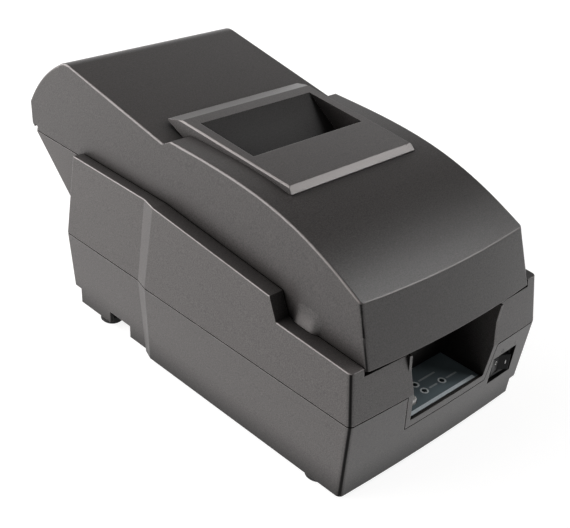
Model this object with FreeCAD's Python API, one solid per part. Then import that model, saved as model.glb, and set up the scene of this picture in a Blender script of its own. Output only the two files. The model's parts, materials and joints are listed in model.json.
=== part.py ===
import FreeCAD
import Part

import math
import os

# Impact receipt printer for 76 mm paper, in millimetres, +Z up, front towards -Y.
# Stations (y) run back from the front corner of the case seam and heights (z) run up
# from the underside of the case. write() moves every piece so that the origin ends up
# on the table under the middle of the printer.

V = FreeCAD.Vector

# Overall sizes
WALL = 2.5
FOOT_HEIGHT = 3.0
SEAM_BOW = 2.2
REAR_STATION = 290.4
MIDDLE_STATION = (REAR_STATION - SEAM_BOW) / 2

# Case outline at three heights: half widths in front of and behind the side step,
# station of the front corners, forward bow of the front, both ends of the step, rear
FLOOR_LEVEL = dict(z=0.0, half_front=76.6, half_rear=73.95, front=2.36, bow=1.6,
                   step_start=155.3, step_end=162.5, rear=231.2)
SEAM_LEVEL = dict(z=48.4, half_front=80.0, half_rear=77.36, front=0.0, bow=SEAM_BOW,
                  step_start=158.7, step_end=167.9, rear=237.15)
TOP_LEVEL = dict(z=100.0, half_front=77.72, half_rear=75.08, front=9.44, bow=1.5,
                 step_start=157.0, step_end=167.5, rear=234.6)
SEAM = SEAM_LEVEL["z"]
SEAM_GROOVE = 0.7
SEAM_GROOVE_DEPTH = 1.6
FRONT_CORNER_RADIUS = 3.0
REAR_CORNER_RADIUS = 0.8
STEP_RADIUS = 2.0

# Lower case
REAR_UNDERSIDE = 2.0
BAY_FRONT = 150.0
BAY_TOP = 12.0
NOTCH_TOP = 10.0
SIDE_NOTCH = (177.5, 197.0)
REAR_NOTCH_STATION = 226.3
CORNER_NOTCH_X = 70.0
CORNER_NOTCH_TOP = 9.7

# Upper case: finger ledge, step up to the shoulder, shoulder line
LEDGE_FRONT = (5.2, 76.7)
LEDGE_REAR = (57.0, 79.2)
SHOULDER_FRONT = (63.6, 91.2)
SHOULDER_REAR = (157.0, 99.9)
POCKET_GAP = 0.8
POCKET_FLOOR = 72.4
POCKET_DROP = 7.6
FLANGE = 2.0
POCKET_WALL = 2.2
TOP_OPENING_HALF = 65.8
OVERHANG_HALF = 67.8
OVERHANG_FOOT = (236.3, 56.2)
OVERHANG_SLOPE = 0.868
OVERHANG_TOP = 96.4

# Panel recess in the front, a little right of the middle: half widths at its top and
# bottom, and its surround
RECESS_X = 1.9
RECESS_TOP = (75.0, 38.7)
RECESS_BOTTOM = (29.3, 32.2)
RECESS_DEPTH = 29.0
SURROUND_SEAM_HALF = 39.0
SURROUND_FOOT = (24.9, 35.0)
SURROUND_GAP = 0.6
PANEL_TOP = 28.6
PANEL_THICKNESS = 2.1
OVERLAY_THICKNESS = 0.3
BUTTON_XY = (-17.0, 12.0)
BUTTON_RADIUS = 4.8
LED_XY = ((12.1, 11.2), (-3.2, 11.3), (-3.2, 18.0))
LED_RADIUS = 1.5
PANEL_BOARD_TOP = 19.6
PANEL_LEDGE = PANEL_TOP - PANEL_THICKNESS

# Power switch, centred in its own recess at the front right
SWITCH_XZ = (53.5, 28.2)
SWITCH_RECESS = (23.0, 18.0)
SWITCH_FLANGE = (21.0, 15.0)
SWITCH_BODY = (19.0, 13.0)
SWITCH_FACE = 3.6
SWITCH_PIVOT = 7.0
PIVOT_RADIUS = 1.0
ROCKER_TILT = 9.0

# Cover
COVER_HALF_AT_80 = 68.58
COVER_DRAFT = 0.05
COVER_FRONT_FOOT = (3.4, 74.9)
COVER_FRONT_TOP = (14.5, 107.5)
COVER_BOW = (3.4, 1.8)
COVER_CROWN = ((14.5, 107.5), (44.0, 120.7), (73.2, 129.4), (118.3, 134.9), (158.3, 135.8))
COVER_VALLEY = (164.3, 132.2)
COVER_RIDGE = ((252.4, 147.65), (257.6, 147.5), (262.5, 145.0))
COVER_DRUM = ((262.5, 145.0), (277.9, 132.4), (290.4, 113.4))
COVER_LIP = (289.6, 112.4)
COVER_HEEL = (287.2, 100.2)
SKIRT_DROP = 4.0
SKIRT_REAR = (224.5, 97.0)
GRIP_STATIONS = (32.5, 58.5)
GRIP_BULGES = ((77.6, 2.9), (81.2, 1.8), (86.0, 0.6), (92.0, -0.2))
GRIP_ROOT = 0.3
GRIP_GAP = 0.4

# Hinge
HINGE_YZ = (283.5, 98.5)
HINGE_RADIUS = 3.4
HINGE_PIN_RADIUS = 1.5
RUNNING_GAP = 0.05
CASE_KNUCKLE = (30.0, 44.0)
COVER_KNUCKLE = (44.4, 58.0)

# Paper exit bezel
BEZEL_FRONT_FOOT = (81.9, 131.7)
BEZEL_FRONT_TOP = (85.0, 135.2)
BEZEL_REAR_TOP = (168.0, 141.05)
BEZEL_REAR_TIP = (178.4, 138.6)
BEZEL_LIP_ROOT = (164.6, 132.9)
BEZEL_CHAMFER = 0.8
EXIT_STATIONS = (117.4, 160.3)
EXIT_HALF = 43.2
RAMP_FOOT = (131.0, 121.9)
CHUTE_FOOT = 124.0
CHEEK = 1.8

# Paper roll bin
ROLL_YZ = (210.0, 97.5)
BIN_RADIUS = 42.0
BIN_WALL = 2.0
BIN_HALF = 40.0

# Mechanism
PLATE_INSIDE = 57.0
PLATE_THICKNESS = 1.5
BASE_BOTTOM = 51.0
FRAME_STATIONS = (38.0, 150.0)
FEED_YZ = (134.2, 76.0)
FEED_RADIUS = 6.0
FEED_SHAFT_RADIUS = 2.5
FEED_BUSH_RADIUS = 4.0
DRUM_PLACES = (-27.0, 0.0, 27.0)
PINCH_YZ = (123.3, 76.0)
PINCH_RADIUS = 4.5
THIN_SHAFT_RADIUS = 1.5
CARRIAGE_SHAFT_YZ = (92.0, 88.0)
CARRIAGE_SHAFT_RADIUS = 3.0
CARRIAGE_HALF = 12.0
GUIDE_RAIL = dict(front=66.0, rear=74.0, bottom=88.0, top=89.5)
BELT_STATION = 76.0
BELT_PULLEY_X = 44.0
BELT_PULLEY_RADIUS = 6.0
BELT_HEIGHTS = (79.0, 83.0)
BELT_THICKNESS = 1.0
PULLEY_FOOT = 77.4
PULLEY_SHAFT_TOP = 84.2
MOTOR_RADIUS = 12.6
MOTOR_TOP = 75.5
HEAD_HEIGHT = 98.0
HEAD_RADIUS = 11.0

# Feed gears, outside the left side plate
GEAR_MODULE = 0.8
FEED_TEETH = 32
IDLER_TEETH = 24
PINION_TEETH = 15
GEAR_X = (-64.0, -60.0)
GEAR_BACKLASH = 0.12
IDLER_DIRECTION = 200.0
PINION_DIRECTION = 180.0
FEED_MOTOR_X = (-56.8, -36.0)
FEED_MOTOR_RADIUS = 12.0

# Ribbon cassette
RIBBON_HEIGHTS = (95.6, 107.0)
KNOB_XY = (-26.0, 48.0)
KNOB_STEM_RADIUS = 3.0

# Case screws as (x, y, height of the underside there), posts and feet
CASE_SCREWS = ((-70.0, 40.0, 0.0), (70.0, 40.0, 0.0), (-70.5, 220.0, BAY_TOP), (70.5, 220.0, BAY_TOP))
SCREW_SEAT = 38.0
SCREW_TIP = 60.0
SCREW_RADIUS = 1.2
SCREW_PILOT = 1.25
SCREW_PASSAGE = 1.6
SCREW_HEAD_ROOM = 3.4
CASE_POST_RADIUS = 4.8
CASE_BOSS_RADIUS = 4.2
FRAME_POSTS = ((-50.0, 45.0), (50.0, 45.0), (-50.0, 141.0), (50.0, 141.0))
FRAME_POST_RADIUS = 4.0
BOARD_POSTS = ((-39.0, 68.0), (39.0, 68.0), (-39.0, 208.0), (39.0, 208.0))
BOARD_POST_RADIUS = 3.2
FRONT_FEET = ((-69.5, 24.0), (69.5, 24.0))
REAR_FEET = ((-66.0, 206.0), (66.0, 206.0))
FOOT_RADIUS = 7.0

# Main board: chips (x, y, width, depth), cable sockets (x, y, width), capacitors (x, y,
# radius, height) and the fins of the heat sink
BOARD_BOTTOM = 20.0
BOARD_THICKNESS = 1.6
COMPONENT_FLOOR = BOARD_BOTTOM + BOARD_THICKNESS
BOARD_HALF = 44.0
BOARD_STATIONS = (62.0, 226.0)
CHIPS = ((-16, 120, 20, 20), (14, 118, 9, 16), (14, 142, 9, 16), (-34, 128, 10, 18))
CHIP_HEIGHT = 1.8
SOCKETS = ((-40, 84, 22), (-12, 84, 16), (12, 84, 24))
SOCKET_HEIGHT = 7.0
CAPACITORS = ((-34, 165, 8.0, 20), (-34, 185, 8.0, 20), (-14, 176, 5.0, 12))
SINK_STATIONS = (156.0, 186.0)
FIN_PLACES = (18, 22, 26, 30, 34)
FIN_THICKNESS = 1.6
FIN_HEIGHT = 14.0
SOLDERED = 0.2

# Connectors in the rear window, and the plate around them
WINDOW_HALF = 50.0
WINDOW_HEIGHTS = (16.0, 44.0)
LIP = 3.0
PLATE_STATION = 230.7
PLATE_MIDDLE = sum(WINDOW_HEIGHTS) / 2
PLATE_SCREW_X = WINDOW_HALF - LIP + 0.6
PLATE_CLEARANCE = 0.4
CONNECTOR_FACE = PLATE_STATION + 1.2
CONNECTOR_CLEARANCE = 0.25
SERIAL_X = -19.0
SERIAL_HEIGHT = 30.0
JACK_X = 18.5
JACK_SIZE = (13.2, 11.6)
JACK_CONTACTS = 6
INLET_X = 36.0
INLET_SIZE = (14.0, 13.0)
INLET_PIN_CIRCLE = 2.6

# Reach of tools that cut right through
BIG = 400.0
TOP_OUT = 160.0


# Small helpers

def box(x0, x1, y0, y1, z0, z1):
    return Part.makeBox(x1 - x0, y1 - y0, z1 - z0, V(x0, y0, z0))


def rod_x(y, z, radius, x0, x1):
    return Part.makeCylinder(radius, x1 - x0, V(x0, y, z), V(1, 0, 0))


def rod_y(x, z, radius, y0, y1):
    return Part.makeCylinder(radius, y1 - y0, V(x, y0, z), V(0, 1, 0))


def rod_z(x, y, radius, z0, z1):
    return Part.makeCylinder(radius, z1 - z0, V(x, y, z0), V(0, 0, 1))


def polygon(points):
    return Part.makePolygon(list(points) + [points[0]])


def prism_x(side_points, x0, x1):
    """Solid from a (y, z) outline, running from x0 to x1."""
    face = Part.Face(polygon([V(x0, y, z) for y, z in side_points]))
    return face.extrude(V(x1 - x0, 0, 0))


def prism_y(front_points, y0, y1):
    """Solid from an (x, z) outline, running from y0 to y1."""
    face = Part.Face(polygon([V(x, y0, z) for x, z in front_points]))
    return face.extrude(V(0, y1 - y0, 0))


def prism_z(plan_points, z0, z1):
    """Solid from an (x, y) outline, running from z0 to z1."""
    face = Part.Face(polygon([V(x, y, z0) for x, y in plan_points]))
    return face.extrude(V(0, 0, z1 - z0))


def fuse(*shapes):
    return shapes[0].fuse(list(shapes[1:])).removeSplitter()


def cut(shape, *tools):
    return shape.cut(list(tools))


def mirrored(shape):
    return shape.mirror(V(0, 0, 0), V(1, 0, 0))


def both_sides(shape):
    return [shape, mirrored(shape)]


def group(shapes):
    return Part.makeCompound(list(shapes))


def blend(low, high, fraction):
    return low + (high - low) * fraction


def on_line(start, end, station):
    """Height of the line through two (y, z) points at a station."""
    return blend(start[1], end[1], (station - start[0]) / (end[0] - start[0]))


def rounded_outline(corners, z, front_bow):
    """Closed plan outline with rounded corners (x, y, radius); its first side bows forward."""
    count = len(corners)
    lean = 2 * math.atan(2 * front_bow / (corners[1][0] - corners[0][0]))
    entries = []
    exits = []
    arcs = []
    for index in range(count):
        x, y, radius = corners[index]
        here = V(x, y, z)
        back = V(corners[index - 1][0], corners[index - 1][1], z) - here
        ahead = V(corners[(index + 1) % count][0], corners[(index + 1) % count][1], z) - here
        back.normalize()
        ahead.normalize()
        if index == 0:
            ahead = V(math.cos(lean), -math.sin(lean), 0)
        if index == 1:
            back = V(-math.cos(lean), -math.sin(lean), 0)
        half_angle = back.getAngle(ahead) / 2
        reach = radius / math.tan(half_angle)
        middle = back + ahead
        middle.normalize()
        depth = radius / math.sin(half_angle) - radius
        entries.append(here + back * reach)
        exits.append(here + ahead * reach)
        arcs.append(Part.Arc(entries[-1], here + middle * depth, exits[-1]).toShape())
    edges = []
    for index in range(count):
        start = exits[index]
        end = entries[(index + 1) % count]
        if index == 0:
            crest = V(0, corners[0][1] - front_bow, z)
            edges.append(Part.Arc(start, crest, end).toShape())
        else:
            edges.append(Part.LineSegment(start, end).toShape())
        edges.append(arcs[(index + 1) % count])
    return Part.Wire(edges)


def case_outline(level, inset=0.0):
    front_radius = max(FRONT_CORNER_RADIUS - inset, 0.5)
    rear_radius = max(REAR_CORNER_RADIUS - inset, 0.5)
    front_half = level["half_front"] - inset
    rear_half = level["half_rear"] - inset
    front = level["front"] + inset
    rear = level["rear"] - inset
    left = [(-front_half, front, front_radius)]
    right = [(front_half, front, front_radius),
             (front_half, level["step_start"], STEP_RADIUS),
             (rear_half, level["step_end"], STEP_RADIUS),
             (rear_half, rear, rear_radius)]
    back_left = [(-rear_half, rear, rear_radius),
                 (-rear_half, level["step_end"], STEP_RADIUS),
                 (-front_half, level["step_start"], STEP_RADIUS)]
    return rounded_outline(left + right + back_left, level["z"], level["bow"])


def case_block(low, high, inset=0.0):
    return Part.makeLoft([case_outline(low, inset), case_outline(high, inset)], True, True)


def trapezoid(low, high, spread=0.0):
    """Symmetrical (x, z) outline from two (height, half width) pairs."""
    return [(-low[1] - spread, low[0]), (low[1] + spread, low[0]),
            (high[1] + spread, high[0]), (-high[1] - spread, high[0])]


def half_at(low, high, height):
    return blend(low[1], high[1], (height - low[0]) / (high[0] - low[0]))


# Case

def surround_block(y0, y1, spread=0.0):
    """The U-shaped surround of the panel recess, as a tapered block through the front."""
    slope = (SURROUND_SEAM_HALF - SURROUND_FOOT[1]) / (SEAM - SURROUND_FOOT[0])
    foot = (SURROUND_FOOT[0] - spread, SURROUND_FOOT[1] - spread * slope)
    top = (POCKET_FLOOR, SURROUND_SEAM_HALF + slope * (POCKET_FLOOR - SEAM))
    return at_recess(prism_y(trapezoid(foot, top, spread), y0, y1))


def at_recess(shape):
    """Shift a piece drawn about the middle plane sideways to the panel recess."""
    moved = shape.copy()
    moved.translate(V(RECESS_X, 0, 0))
    return moved


def lower_case():
    outer = case_block(FLOOR_LEVEL, SEAM_LEVEL)
    inner = case_block(FLOOR_LEVEL, SEAM_LEVEL, WALL)
    front_room = inner.common(box(-BIG, BIG, -BIG, BAY_FRONT - WALL, WALL, BIG))
    rear_room = inner.common(box(-BIG, BIG, BAY_FRONT - WALL, BIG, BAY_TOP + WALL, BIG))
    cable_bay = inner.common(box(-BIG, BIG, BAY_FRONT, BIG, -BIG, BAY_TOP))
    shell = cut(outer, front_room, rear_room, cable_bay)
    shell = fuse(shell, *lower_case_posts(), switch_collar(outer), window_collar(outer), notch_wall(outer))
    groove = box(-BIG, BIG, -BIG, BIG, SEAM - SEAM_GROOVE, BIG)
    groove = cut(groove, case_block(FLOOR_LEVEL, SEAM_LEVEL, SEAM_GROOVE_DEPTH))
    return cut(shell, groove, *lower_case_notches(), *lower_case_holes())


def lower_case_posts():
    posts = [rod_z(x, y, FRAME_POST_RADIUS, WALL / 2, BASE_BOTTOM) for x, y in FRAME_POSTS]
    for x, y in BOARD_POSTS:
        floor = WALL if y < BAY_FRONT else BAY_TOP + WALL
        posts.append(rod_z(x, y, BOARD_POST_RADIUS, floor - WALL / 2, BOARD_BOTTOM))
    for x, y, floor in CASE_SCREWS:
        post = rod_z(x, y, CASE_POST_RADIUS, floor + 0.5, SEAM)
        posts.append(post.common(case_block(FLOOR_LEVEL, SEAM_LEVEL, 1.0)))
    for x, y in REAR_FEET:
        posts.append(rod_z(x, y, FOOT_RADIUS + 0.6, REAR_UNDERSIDE, BAY_TOP + 0.5))
    return posts


def switch_block(size, y0, y1, spread=0.0):
    """Block of the given width and height centred on the power switch."""
    x, z = SWITCH_XZ
    half_width = size[0] / 2 + spread
    half_height = size[1] / 2 + spread
    return box(x - half_width, x + half_width, y0, y1, z - half_height, z + half_height)


def switch_collar(outer):
    return switch_block(SWITCH_RECESS, -5, SWITCH_FACE + 2.0, 2.0).common(outer)


def window_collar(outer):
    low, high = WINDOW_HEIGHTS
    half = WINDOW_HALF + LIP
    return box(-half, half, PLATE_STATION - 2, BIG, low - 2, high + 2).common(outer)


def notch_wall(outer):
    return box(CORNER_NOTCH_X - 2, BIG, -5, 8.5, 0, CORNER_NOTCH_TOP + 2).common(outer)


def lower_case_notches():
    start, end = SIDE_NOTCH
    rear_slab = box(-BIG, BIG, FLOOR_LEVEL["step_end"], BIG, -BIG, REAR_UNDERSIDE)
    side_notch = box(-BIG, BIG, start, end, -BIG, NOTCH_TOP)
    rear_notch = box(-BIG, BIG, REAR_NOTCH_STATION, BIG, -BIG, BAY_TOP)
    corner_notch = box(CORNER_NOTCH_X, BIG, -BIG, 6.5, -BIG, CORNER_NOTCH_TOP)
    return [rear_slab, side_notch, rear_notch, corner_notch]


def lower_case_holes():
    holes = [surround_block(-10, RECESS_DEPTH + 2 + SURROUND_GAP, SURROUND_GAP)]
    holes.append(switch_block(SWITCH_RECESS, -10, SWITCH_FACE))
    holes.append(switch_block(SWITCH_BODY, 0, 15, 0.1))
    low, high = WINDOW_HEIGHTS
    holes.append(box(-WINDOW_HALF, WINDOW_HALF, PLATE_STATION, BIG, low, high))
    holes.append(box(-WINDOW_HALF + LIP + 1, WINDOW_HALF - LIP - 1, 200, BIG, low + LIP, high - LIP))
    for x, y, floor in CASE_SCREWS:
        holes.append(rod_z(x, y, SCREW_HEAD_ROOM, floor - 5, SCREW_SEAT))
        holes.append(rod_z(x, y, SCREW_PASSAGE, SCREW_SEAT, SEAM + 5))
    for x, y in FRAME_POSTS:
        holes.append(rod_z(x, y, SCREW_PILOT, BASE_BOTTOM - 14, BASE_BOTTOM + 1))
    for x, y in BOARD_POSTS:
        holes.append(rod_z(x, y, SCREW_PILOT, BOARD_BOTTOM - 5, BOARD_BOTTOM + 1))
    for x in (-PLATE_SCREW_X, PLATE_SCREW_X):
        holes.append(rod_y(x, PLATE_MIDDLE, SCREW_PILOT, PLATE_STATION - 6, PLATE_STATION + 1))
    return holes


def shoulder_points(drop=0.0):
    """Top line of the upper case's side, lowered by drop, closed well below the seam."""
    start = -20.0
    front_height = on_line(LEDGE_FRONT, LEDGE_REAR, start)
    line = [(start, front_height), LEDGE_REAR, SHOULDER_FRONT, SHOULDER_REAR, (BIG, SHOULDER_REAR[1])]
    lowered = [(y, z - drop) for y, z in line]
    return lowered + [(BIG, 0.0), (start, 0.0)]


def pocket_points(drop, floor):
    """Space above the cover's resting line, which follows the shoulder lower down."""
    rear_floor = SHOULDER_REAR[1] - POCKET_DROP - drop
    front_floor = SHOULDER_FRONT[1] - POCKET_DROP - drop
    return [(-20, floor), (60, floor), (SHOULDER_FRONT[0] + 0.4, front_floor),
            (SHOULDER_REAR[0], rear_floor), (BIG, rear_floor), (BIG, TOP_OUT), (-20, TOP_OUT)]


def cover_half(height):
    return COVER_HALF_AT_80 - COVER_DRAFT * (height - 80.0)


def pocket_block(spread, drop):
    """Drafted pocket for the cover, grown sideways by spread and downwards by drop."""
    low = POCKET_FLOOR - 10
    sides = prism_y(trapezoid((low, cover_half(low)), (TOP_OUT, cover_half(TOP_OUT)), spread), -20, BIG)
    return sides.common(prism_x(pocket_points(drop, POCKET_FLOOR - drop), -BIG, BIG))


def upper_case():
    outer = case_block(SEAM_LEVEL, TOP_LEVEL).common(prism_x(shoulder_points(), -BIG, BIG))
    outer = rounded_shoulders(outer)
    inner = case_block(SEAM_LEVEL, TOP_LEVEL, WALL).common(prism_x(shoulder_points(WALL), -BIG, BIG))
    keep = pocket_block(POCKET_GAP + POCKET_WALL, FLANGE)
    shell = cut(outer, inner.cut(keep))
    opening = box(-TOP_OPENING_HALF, TOP_OPENING_HALF, 9, 229, 0, BIG)
    shell = cut(shell, pocket_block(POCKET_GAP, 0), opening)
    shell = fuse(shell, overhang(), recess_walls(), *upper_bosses())
    shell = cut(shell, overhang_room(), recess_room(), panel_window())
    shell = fuse(shell, *both_sides(case_knuckle()))
    holes = [rod_z(x, y, SCREW_PILOT, SEAM - 5, SCREW_TIP + 2) for x, y, floor in CASE_SCREWS]
    pin_hole = rod_x(*HINGE_YZ, HINGE_PIN_RADIUS, -BIG / 2, BIG / 2)
    knuckle_room = rod_x(*HINGE_YZ, HINGE_RADIUS + 0.5, COVER_KNUCKLE[0] - 0.3, COVER_KNUCKLE[1] + 0.4)
    return cut(shell, pin_hole, *both_sides(knuckle_room), *holes)


def rounded_shoulders(block):
    """Round the long top edges of the sides, where ledge and shoulder meet the outer wall."""
    edges = []
    for edge in block.Edges:
        box_of_edge = edge.BoundBox
        outside = min(abs(box_of_edge.XMin), abs(box_of_edge.XMax)) > 70
        along = box_of_edge.YLength > 40 and box_of_edge.ZMin > LEDGE_FRONT[1] - 1
        if outside and along and box_of_edge.XLength < 3:
            edges.append(edge)
    return block.makeFillet(0.7, edges)


def upper_bosses():
    bosses = []
    for x, y, floor in CASE_SCREWS:
        top = POCKET_FLOOR - FLANGE / 2 if y < 100 else SHOULDER_REAR[1] - POCKET_DROP - FLANGE / 2
        boss = rod_z(x, y, CASE_BOSS_RADIUS, SEAM, top)
        room = case_block(SEAM_LEVEL, TOP_LEVEL, 1.0)
        bosses.append(boss.common(room))
    return bosses


def overhang_station(height):
    """Where the slanted underside of the overhang reaches a height; the cover's heel continues it."""
    return OVERHANG_FOOT[0] + (height - OVERHANG_FOOT[1]) / OVERHANG_SLOPE


def overhang():
    """Rear overhang that carries the hinge: a wedge under the rounded end of the cover."""
    front = 228.0
    root = (OVERHANG_FOOT[0] - WALL, OVERHANG_FOOT[1] - 4)
    return prism_x([(front, root[1]), root, OVERHANG_FOOT, (overhang_station(OVERHANG_TOP), OVERHANG_TOP),
                    (front, OVERHANG_TOP)], -OVERHANG_HALF, OVERHANG_HALF)


def overhang_room():
    """Hollow of the overhang, where the rear of the paper roll sits."""
    rise = WALL * math.hypot(1, OVERHANG_SLOPE)
    front = 220.0
    floor = OVERHANG_FOOT[1] - 3.0
    floor_end = overhang_station(floor - rise)
    rear = overhang_station(OVERHANG_TOP) - 4.5
    rear_floor = floor + (rear - floor_end) * OVERHANG_SLOPE
    half = OVERHANG_HALF - WALL
    return prism_x([(front, floor), (floor_end, floor), (rear, rear_floor), (rear, TOP_OUT),
                    (front, TOP_OUT)], -half, half)


def case_knuckle():
    x0, x1 = CASE_KNUCKLE
    y, z = HINGE_YZ
    root = y - 5.2
    web = prism_x([(root, z - 5.2), (root, z - 1.2), (y - 1.6, z + 2.8), (y, z),
                   (y - 1.4, z - 2.4)], x0, x1)
    return fuse(rod_x(y, z, HINGE_RADIUS, x0, x1), web)


def recess_walls():
    """Surround flush with the case front, and the walls and floor of the panel recess behind it."""
    face = surround_block(-10, 1.5).common(fuse(case_block(FLOOR_LEVEL, SEAM_LEVEL),
                                                case_block(SEAM_LEVEL, TOP_LEVEL)))
    foot = (SURROUND_FOOT[0], half_at(RECESS_BOTTOM, RECESS_TOP, SURROUND_FOOT[0]))
    top = (POCKET_FLOOR, half_at(RECESS_BOTTOM, RECESS_TOP, POCKET_FLOOR))
    tub = prism_y(trapezoid(foot, top, 2.0), 1.0, RECESS_DEPTH + 2)
    return fuse(face, at_recess(tub))


def recess_room():
    floor = PANEL_LEDGE
    low = (floor, half_at(RECESS_BOTTOM, RECESS_TOP, floor))
    tray = prism_y(trapezoid(low, RECESS_TOP), 1.2, RECESS_DEPTH)
    mouth = prism_y(trapezoid(RECESS_BOTTOM, RECESS_TOP), -10, 1.3)
    return at_recess(fuse(tray, mouth))


def panel_window():
    return at_recess(box(-26, 26, 5, 25, SURROUND_FOOT[0] - 1, PANEL_LEDGE + 0.5))


def rubber_feet():
    front = [foot_pad(x, y, 0.0) for x, y in FRONT_FEET]
    rear = [foot_pad(x, y, REAR_UNDERSIDE) for x, y in REAR_FEET]
    return group(front + rear)


def foot_pad(x, y, top):
    bevel = 1.0
    return fuse(rod_z(x, y, FOOT_RADIUS, -FOOT_HEIGHT + bevel, top),
                Part.makeCone(FOOT_RADIUS - bevel, FOOT_RADIUS, bevel, V(x, y, -FOOT_HEIGHT)))


def case_screws():
    return group(pan_screw(x, y, SCREW_SEAT, SCREW_TIP) for x, y, floor in CASE_SCREWS)


def pan_screw(x, y, seat, tip):
    """Screw driven upwards, with its head under the seat."""
    return fuse(rod_z(x, y, SCREW_RADIUS * 2.3, seat - 2.2, seat), rod_z(x, y, SCREW_RADIUS, seat - 1, tip))


def cap_screw(x, y, seat, tip):
    """Screw driven downwards, with its head on the seat."""
    return fuse(rod_z(x, y, SCREW_RADIUS * 2.2, seat, seat + 1.8), rod_z(x, y, SCREW_RADIUS, tip, seat + 1))


def hinge_pins():
    pin = rod_x(*HINGE_YZ, HINGE_PIN_RADIUS, CASE_KNUCKLE[0] + 1, COVER_KNUCKLE[1] - 1)
    return group(both_sides(pin))


# Cover

def cover_profile(bottom_points):
    """Side outline of the cover from its front foot over the crown, valley and drum end."""
    front_foot = V(-BIG / 2, COVER_FRONT_FOOT[0] - 8, COVER_FRONT_FOOT[1])
    crown = [V(-BIG / 2, y, z) for y, z in COVER_CROWN]
    lead = crown[0] + (crown[0] - crown[1]) * 0.5
    lead = V(lead.x, lead.y, lead.z - 0.8)
    curve = Part.BSplineCurve()
    curve.interpolate([lead] + crown)
    valley = V(-BIG / 2, *COVER_VALLEY)
    ridge = [V(-BIG / 2, y, z) for y, z in COVER_RIDGE]
    drum = [V(-BIG / 2, y, z) for y, z in COVER_DRUM]
    bottom = [V(-BIG / 2, y, z) for y, z in bottom_points]
    edges = [Part.LineSegment(V(lead.x, lead.y, front_foot.z), lead).toShape(),
             curve.toShape(),
             Part.LineSegment(crown[-1], valley).toShape(),
             Part.LineSegment(valley, ridge[0]).toShape(),
             Part.Arc(*ridge).toShape(),
             Part.Arc(*drum).toShape()]
    path = [drum[-1]] + bottom + [V(lead.x, lead.y, front_foot.z)]
    for start, end in zip(path, path[1:]):
        edges.append(Part.LineSegment(start, end).toShape())
    return Part.Face(Part.Wire(edges)).extrude(V(BIG, 0, 0))


def cover_plan(inset):
    """Drafted block that bounds the cover in plan, with the bowed, raked front."""
    low, high = 70.0, 152.0
    rake = (COVER_FRONT_TOP[0] - COVER_FRONT_FOOT[0]) / (COVER_FRONT_TOP[1] - COVER_FRONT_FOOT[1])
    bow_rate = (COVER_BOW[1] - COVER_BOW[0]) / (COVER_FRONT_TOP[1] - COVER_FRONT_FOOT[1])
    outlines = []
    for height in (low, high):
        rise = height - COVER_FRONT_FOOT[1]
        half = cover_half(height) - inset
        front = COVER_FRONT_FOOT[0] + rake * rise + inset * 1.05
        bow = max(COVER_BOW[0] + bow_rate * rise, 0.3)
        corner = max(2.4 - inset, 0.5)
        outlines.append(rounded_outline([(-half, front, corner), (half, front, corner),
                                         (half, BIG, 1.0), (-half, BIG, 1.0)], height, bow))
    return Part.makeLoft(outlines, True, True)


def cover_block():
    """The cover as a full block, down to its skirt's lower edge."""
    rear_skirt = SHOULDER_REAR[1] - SKIRT_DROP
    front_skirt = SHOULDER_FRONT[1] - SKIRT_DROP
    foot = COVER_FRONT_FOOT[1]
    bottom = [COVER_LIP, COVER_HEEL, (overhang_station(SKIRT_REAR[1]), SKIRT_REAR[1]), SKIRT_REAR,
              (SKIRT_REAR[0] - 2, rear_skirt), (SHOULDER_REAR[0], rear_skirt),
              (SHOULDER_FRONT[0] + 1.5, front_skirt), (60, foot)]
    return cover_profile(bottom).common(cover_plan(0.0))


def cover_room():
    """Hollow of the cover: its own outline moved in by the wall from the top, front and rear."""
    low = COVER_FRONT_FOOT[1] - 50
    outline = cover_profile([COVER_LIP, COVER_HEEL, (COVER_HEEL[0], low + 25), (60, low), (0, low)])
    lowered = outline.copy()
    lowered.translate(V(0, 0, -WALL - 0.1))
    forward = outline.copy()
    forward.translate(V(0, -WALL, 0))
    return lowered.common(forward).common(cover_plan(WALL))


def grip_outline(height, bulge):
    """Plan of the grip at one height: a bell on the cover's side, rooted inside its wall."""
    side = -cover_half(height)
    start, end = GRIP_STATIONS
    middle = (start + end) / 2
    root = side + GRIP_ROOT
    crest = side - bulge
    flank = blend(root, crest, 0.85)
    points = [V(root, start, height), V(flank, blend(start, end, 0.26), height), V(crest, middle, height),
              V(flank, blend(start, end, 0.74), height), V(root, end, height)]
    bell = Part.BSplineCurve()
    bell.interpolate(Points=points, InitialTangent=V(0, 1, 0), FinalTangent=V(0, 1, 0))
    back = [V(side + WALL / 2, end, height), V(side + WALL / 2, start, height)]
    edges = [bell.toShape()]
    for first, second in zip([points[-1]] + back, back + [points[0]]):
        edges.append(Part.LineSegment(first, second).toShape())
    return Part.Wire(edges)


def finger_grip():
    """Flared lip at the lower edge of the cover, just above the ledge, where a finger lifts it."""
    flare = Part.makeLoft([grip_outline(height, bulge) for height, bulge in GRIP_BULGES], True, False)
    start, end = GRIP_STATIONS
    low_front = on_line(LEDGE_FRONT, LEDGE_REAR, start) + GRIP_GAP
    low_rear = on_line(LEDGE_FRONT, LEDGE_REAR, end) + GRIP_GAP
    above_ledge = [(start, low_front), (end, low_rear), (end, TOP_OUT), (start, TOP_OUT)]
    return flare.common(prism_x(above_ledge, -BIG, BIG))


def cover_knuckle():
    x0, x1 = COVER_KNUCKLE
    y, z = HINGE_YZ
    top = z + 6.0
    web = prism_x([(y, z), (y + HINGE_RADIUS, z), (y + 3.2, top), (y + 0.4, top),
                   (y - 1.2, z + 3.0)], x0, x1)
    return fuse(rod_x(y, z, HINGE_RADIUS, x0, x1), web)


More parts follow.
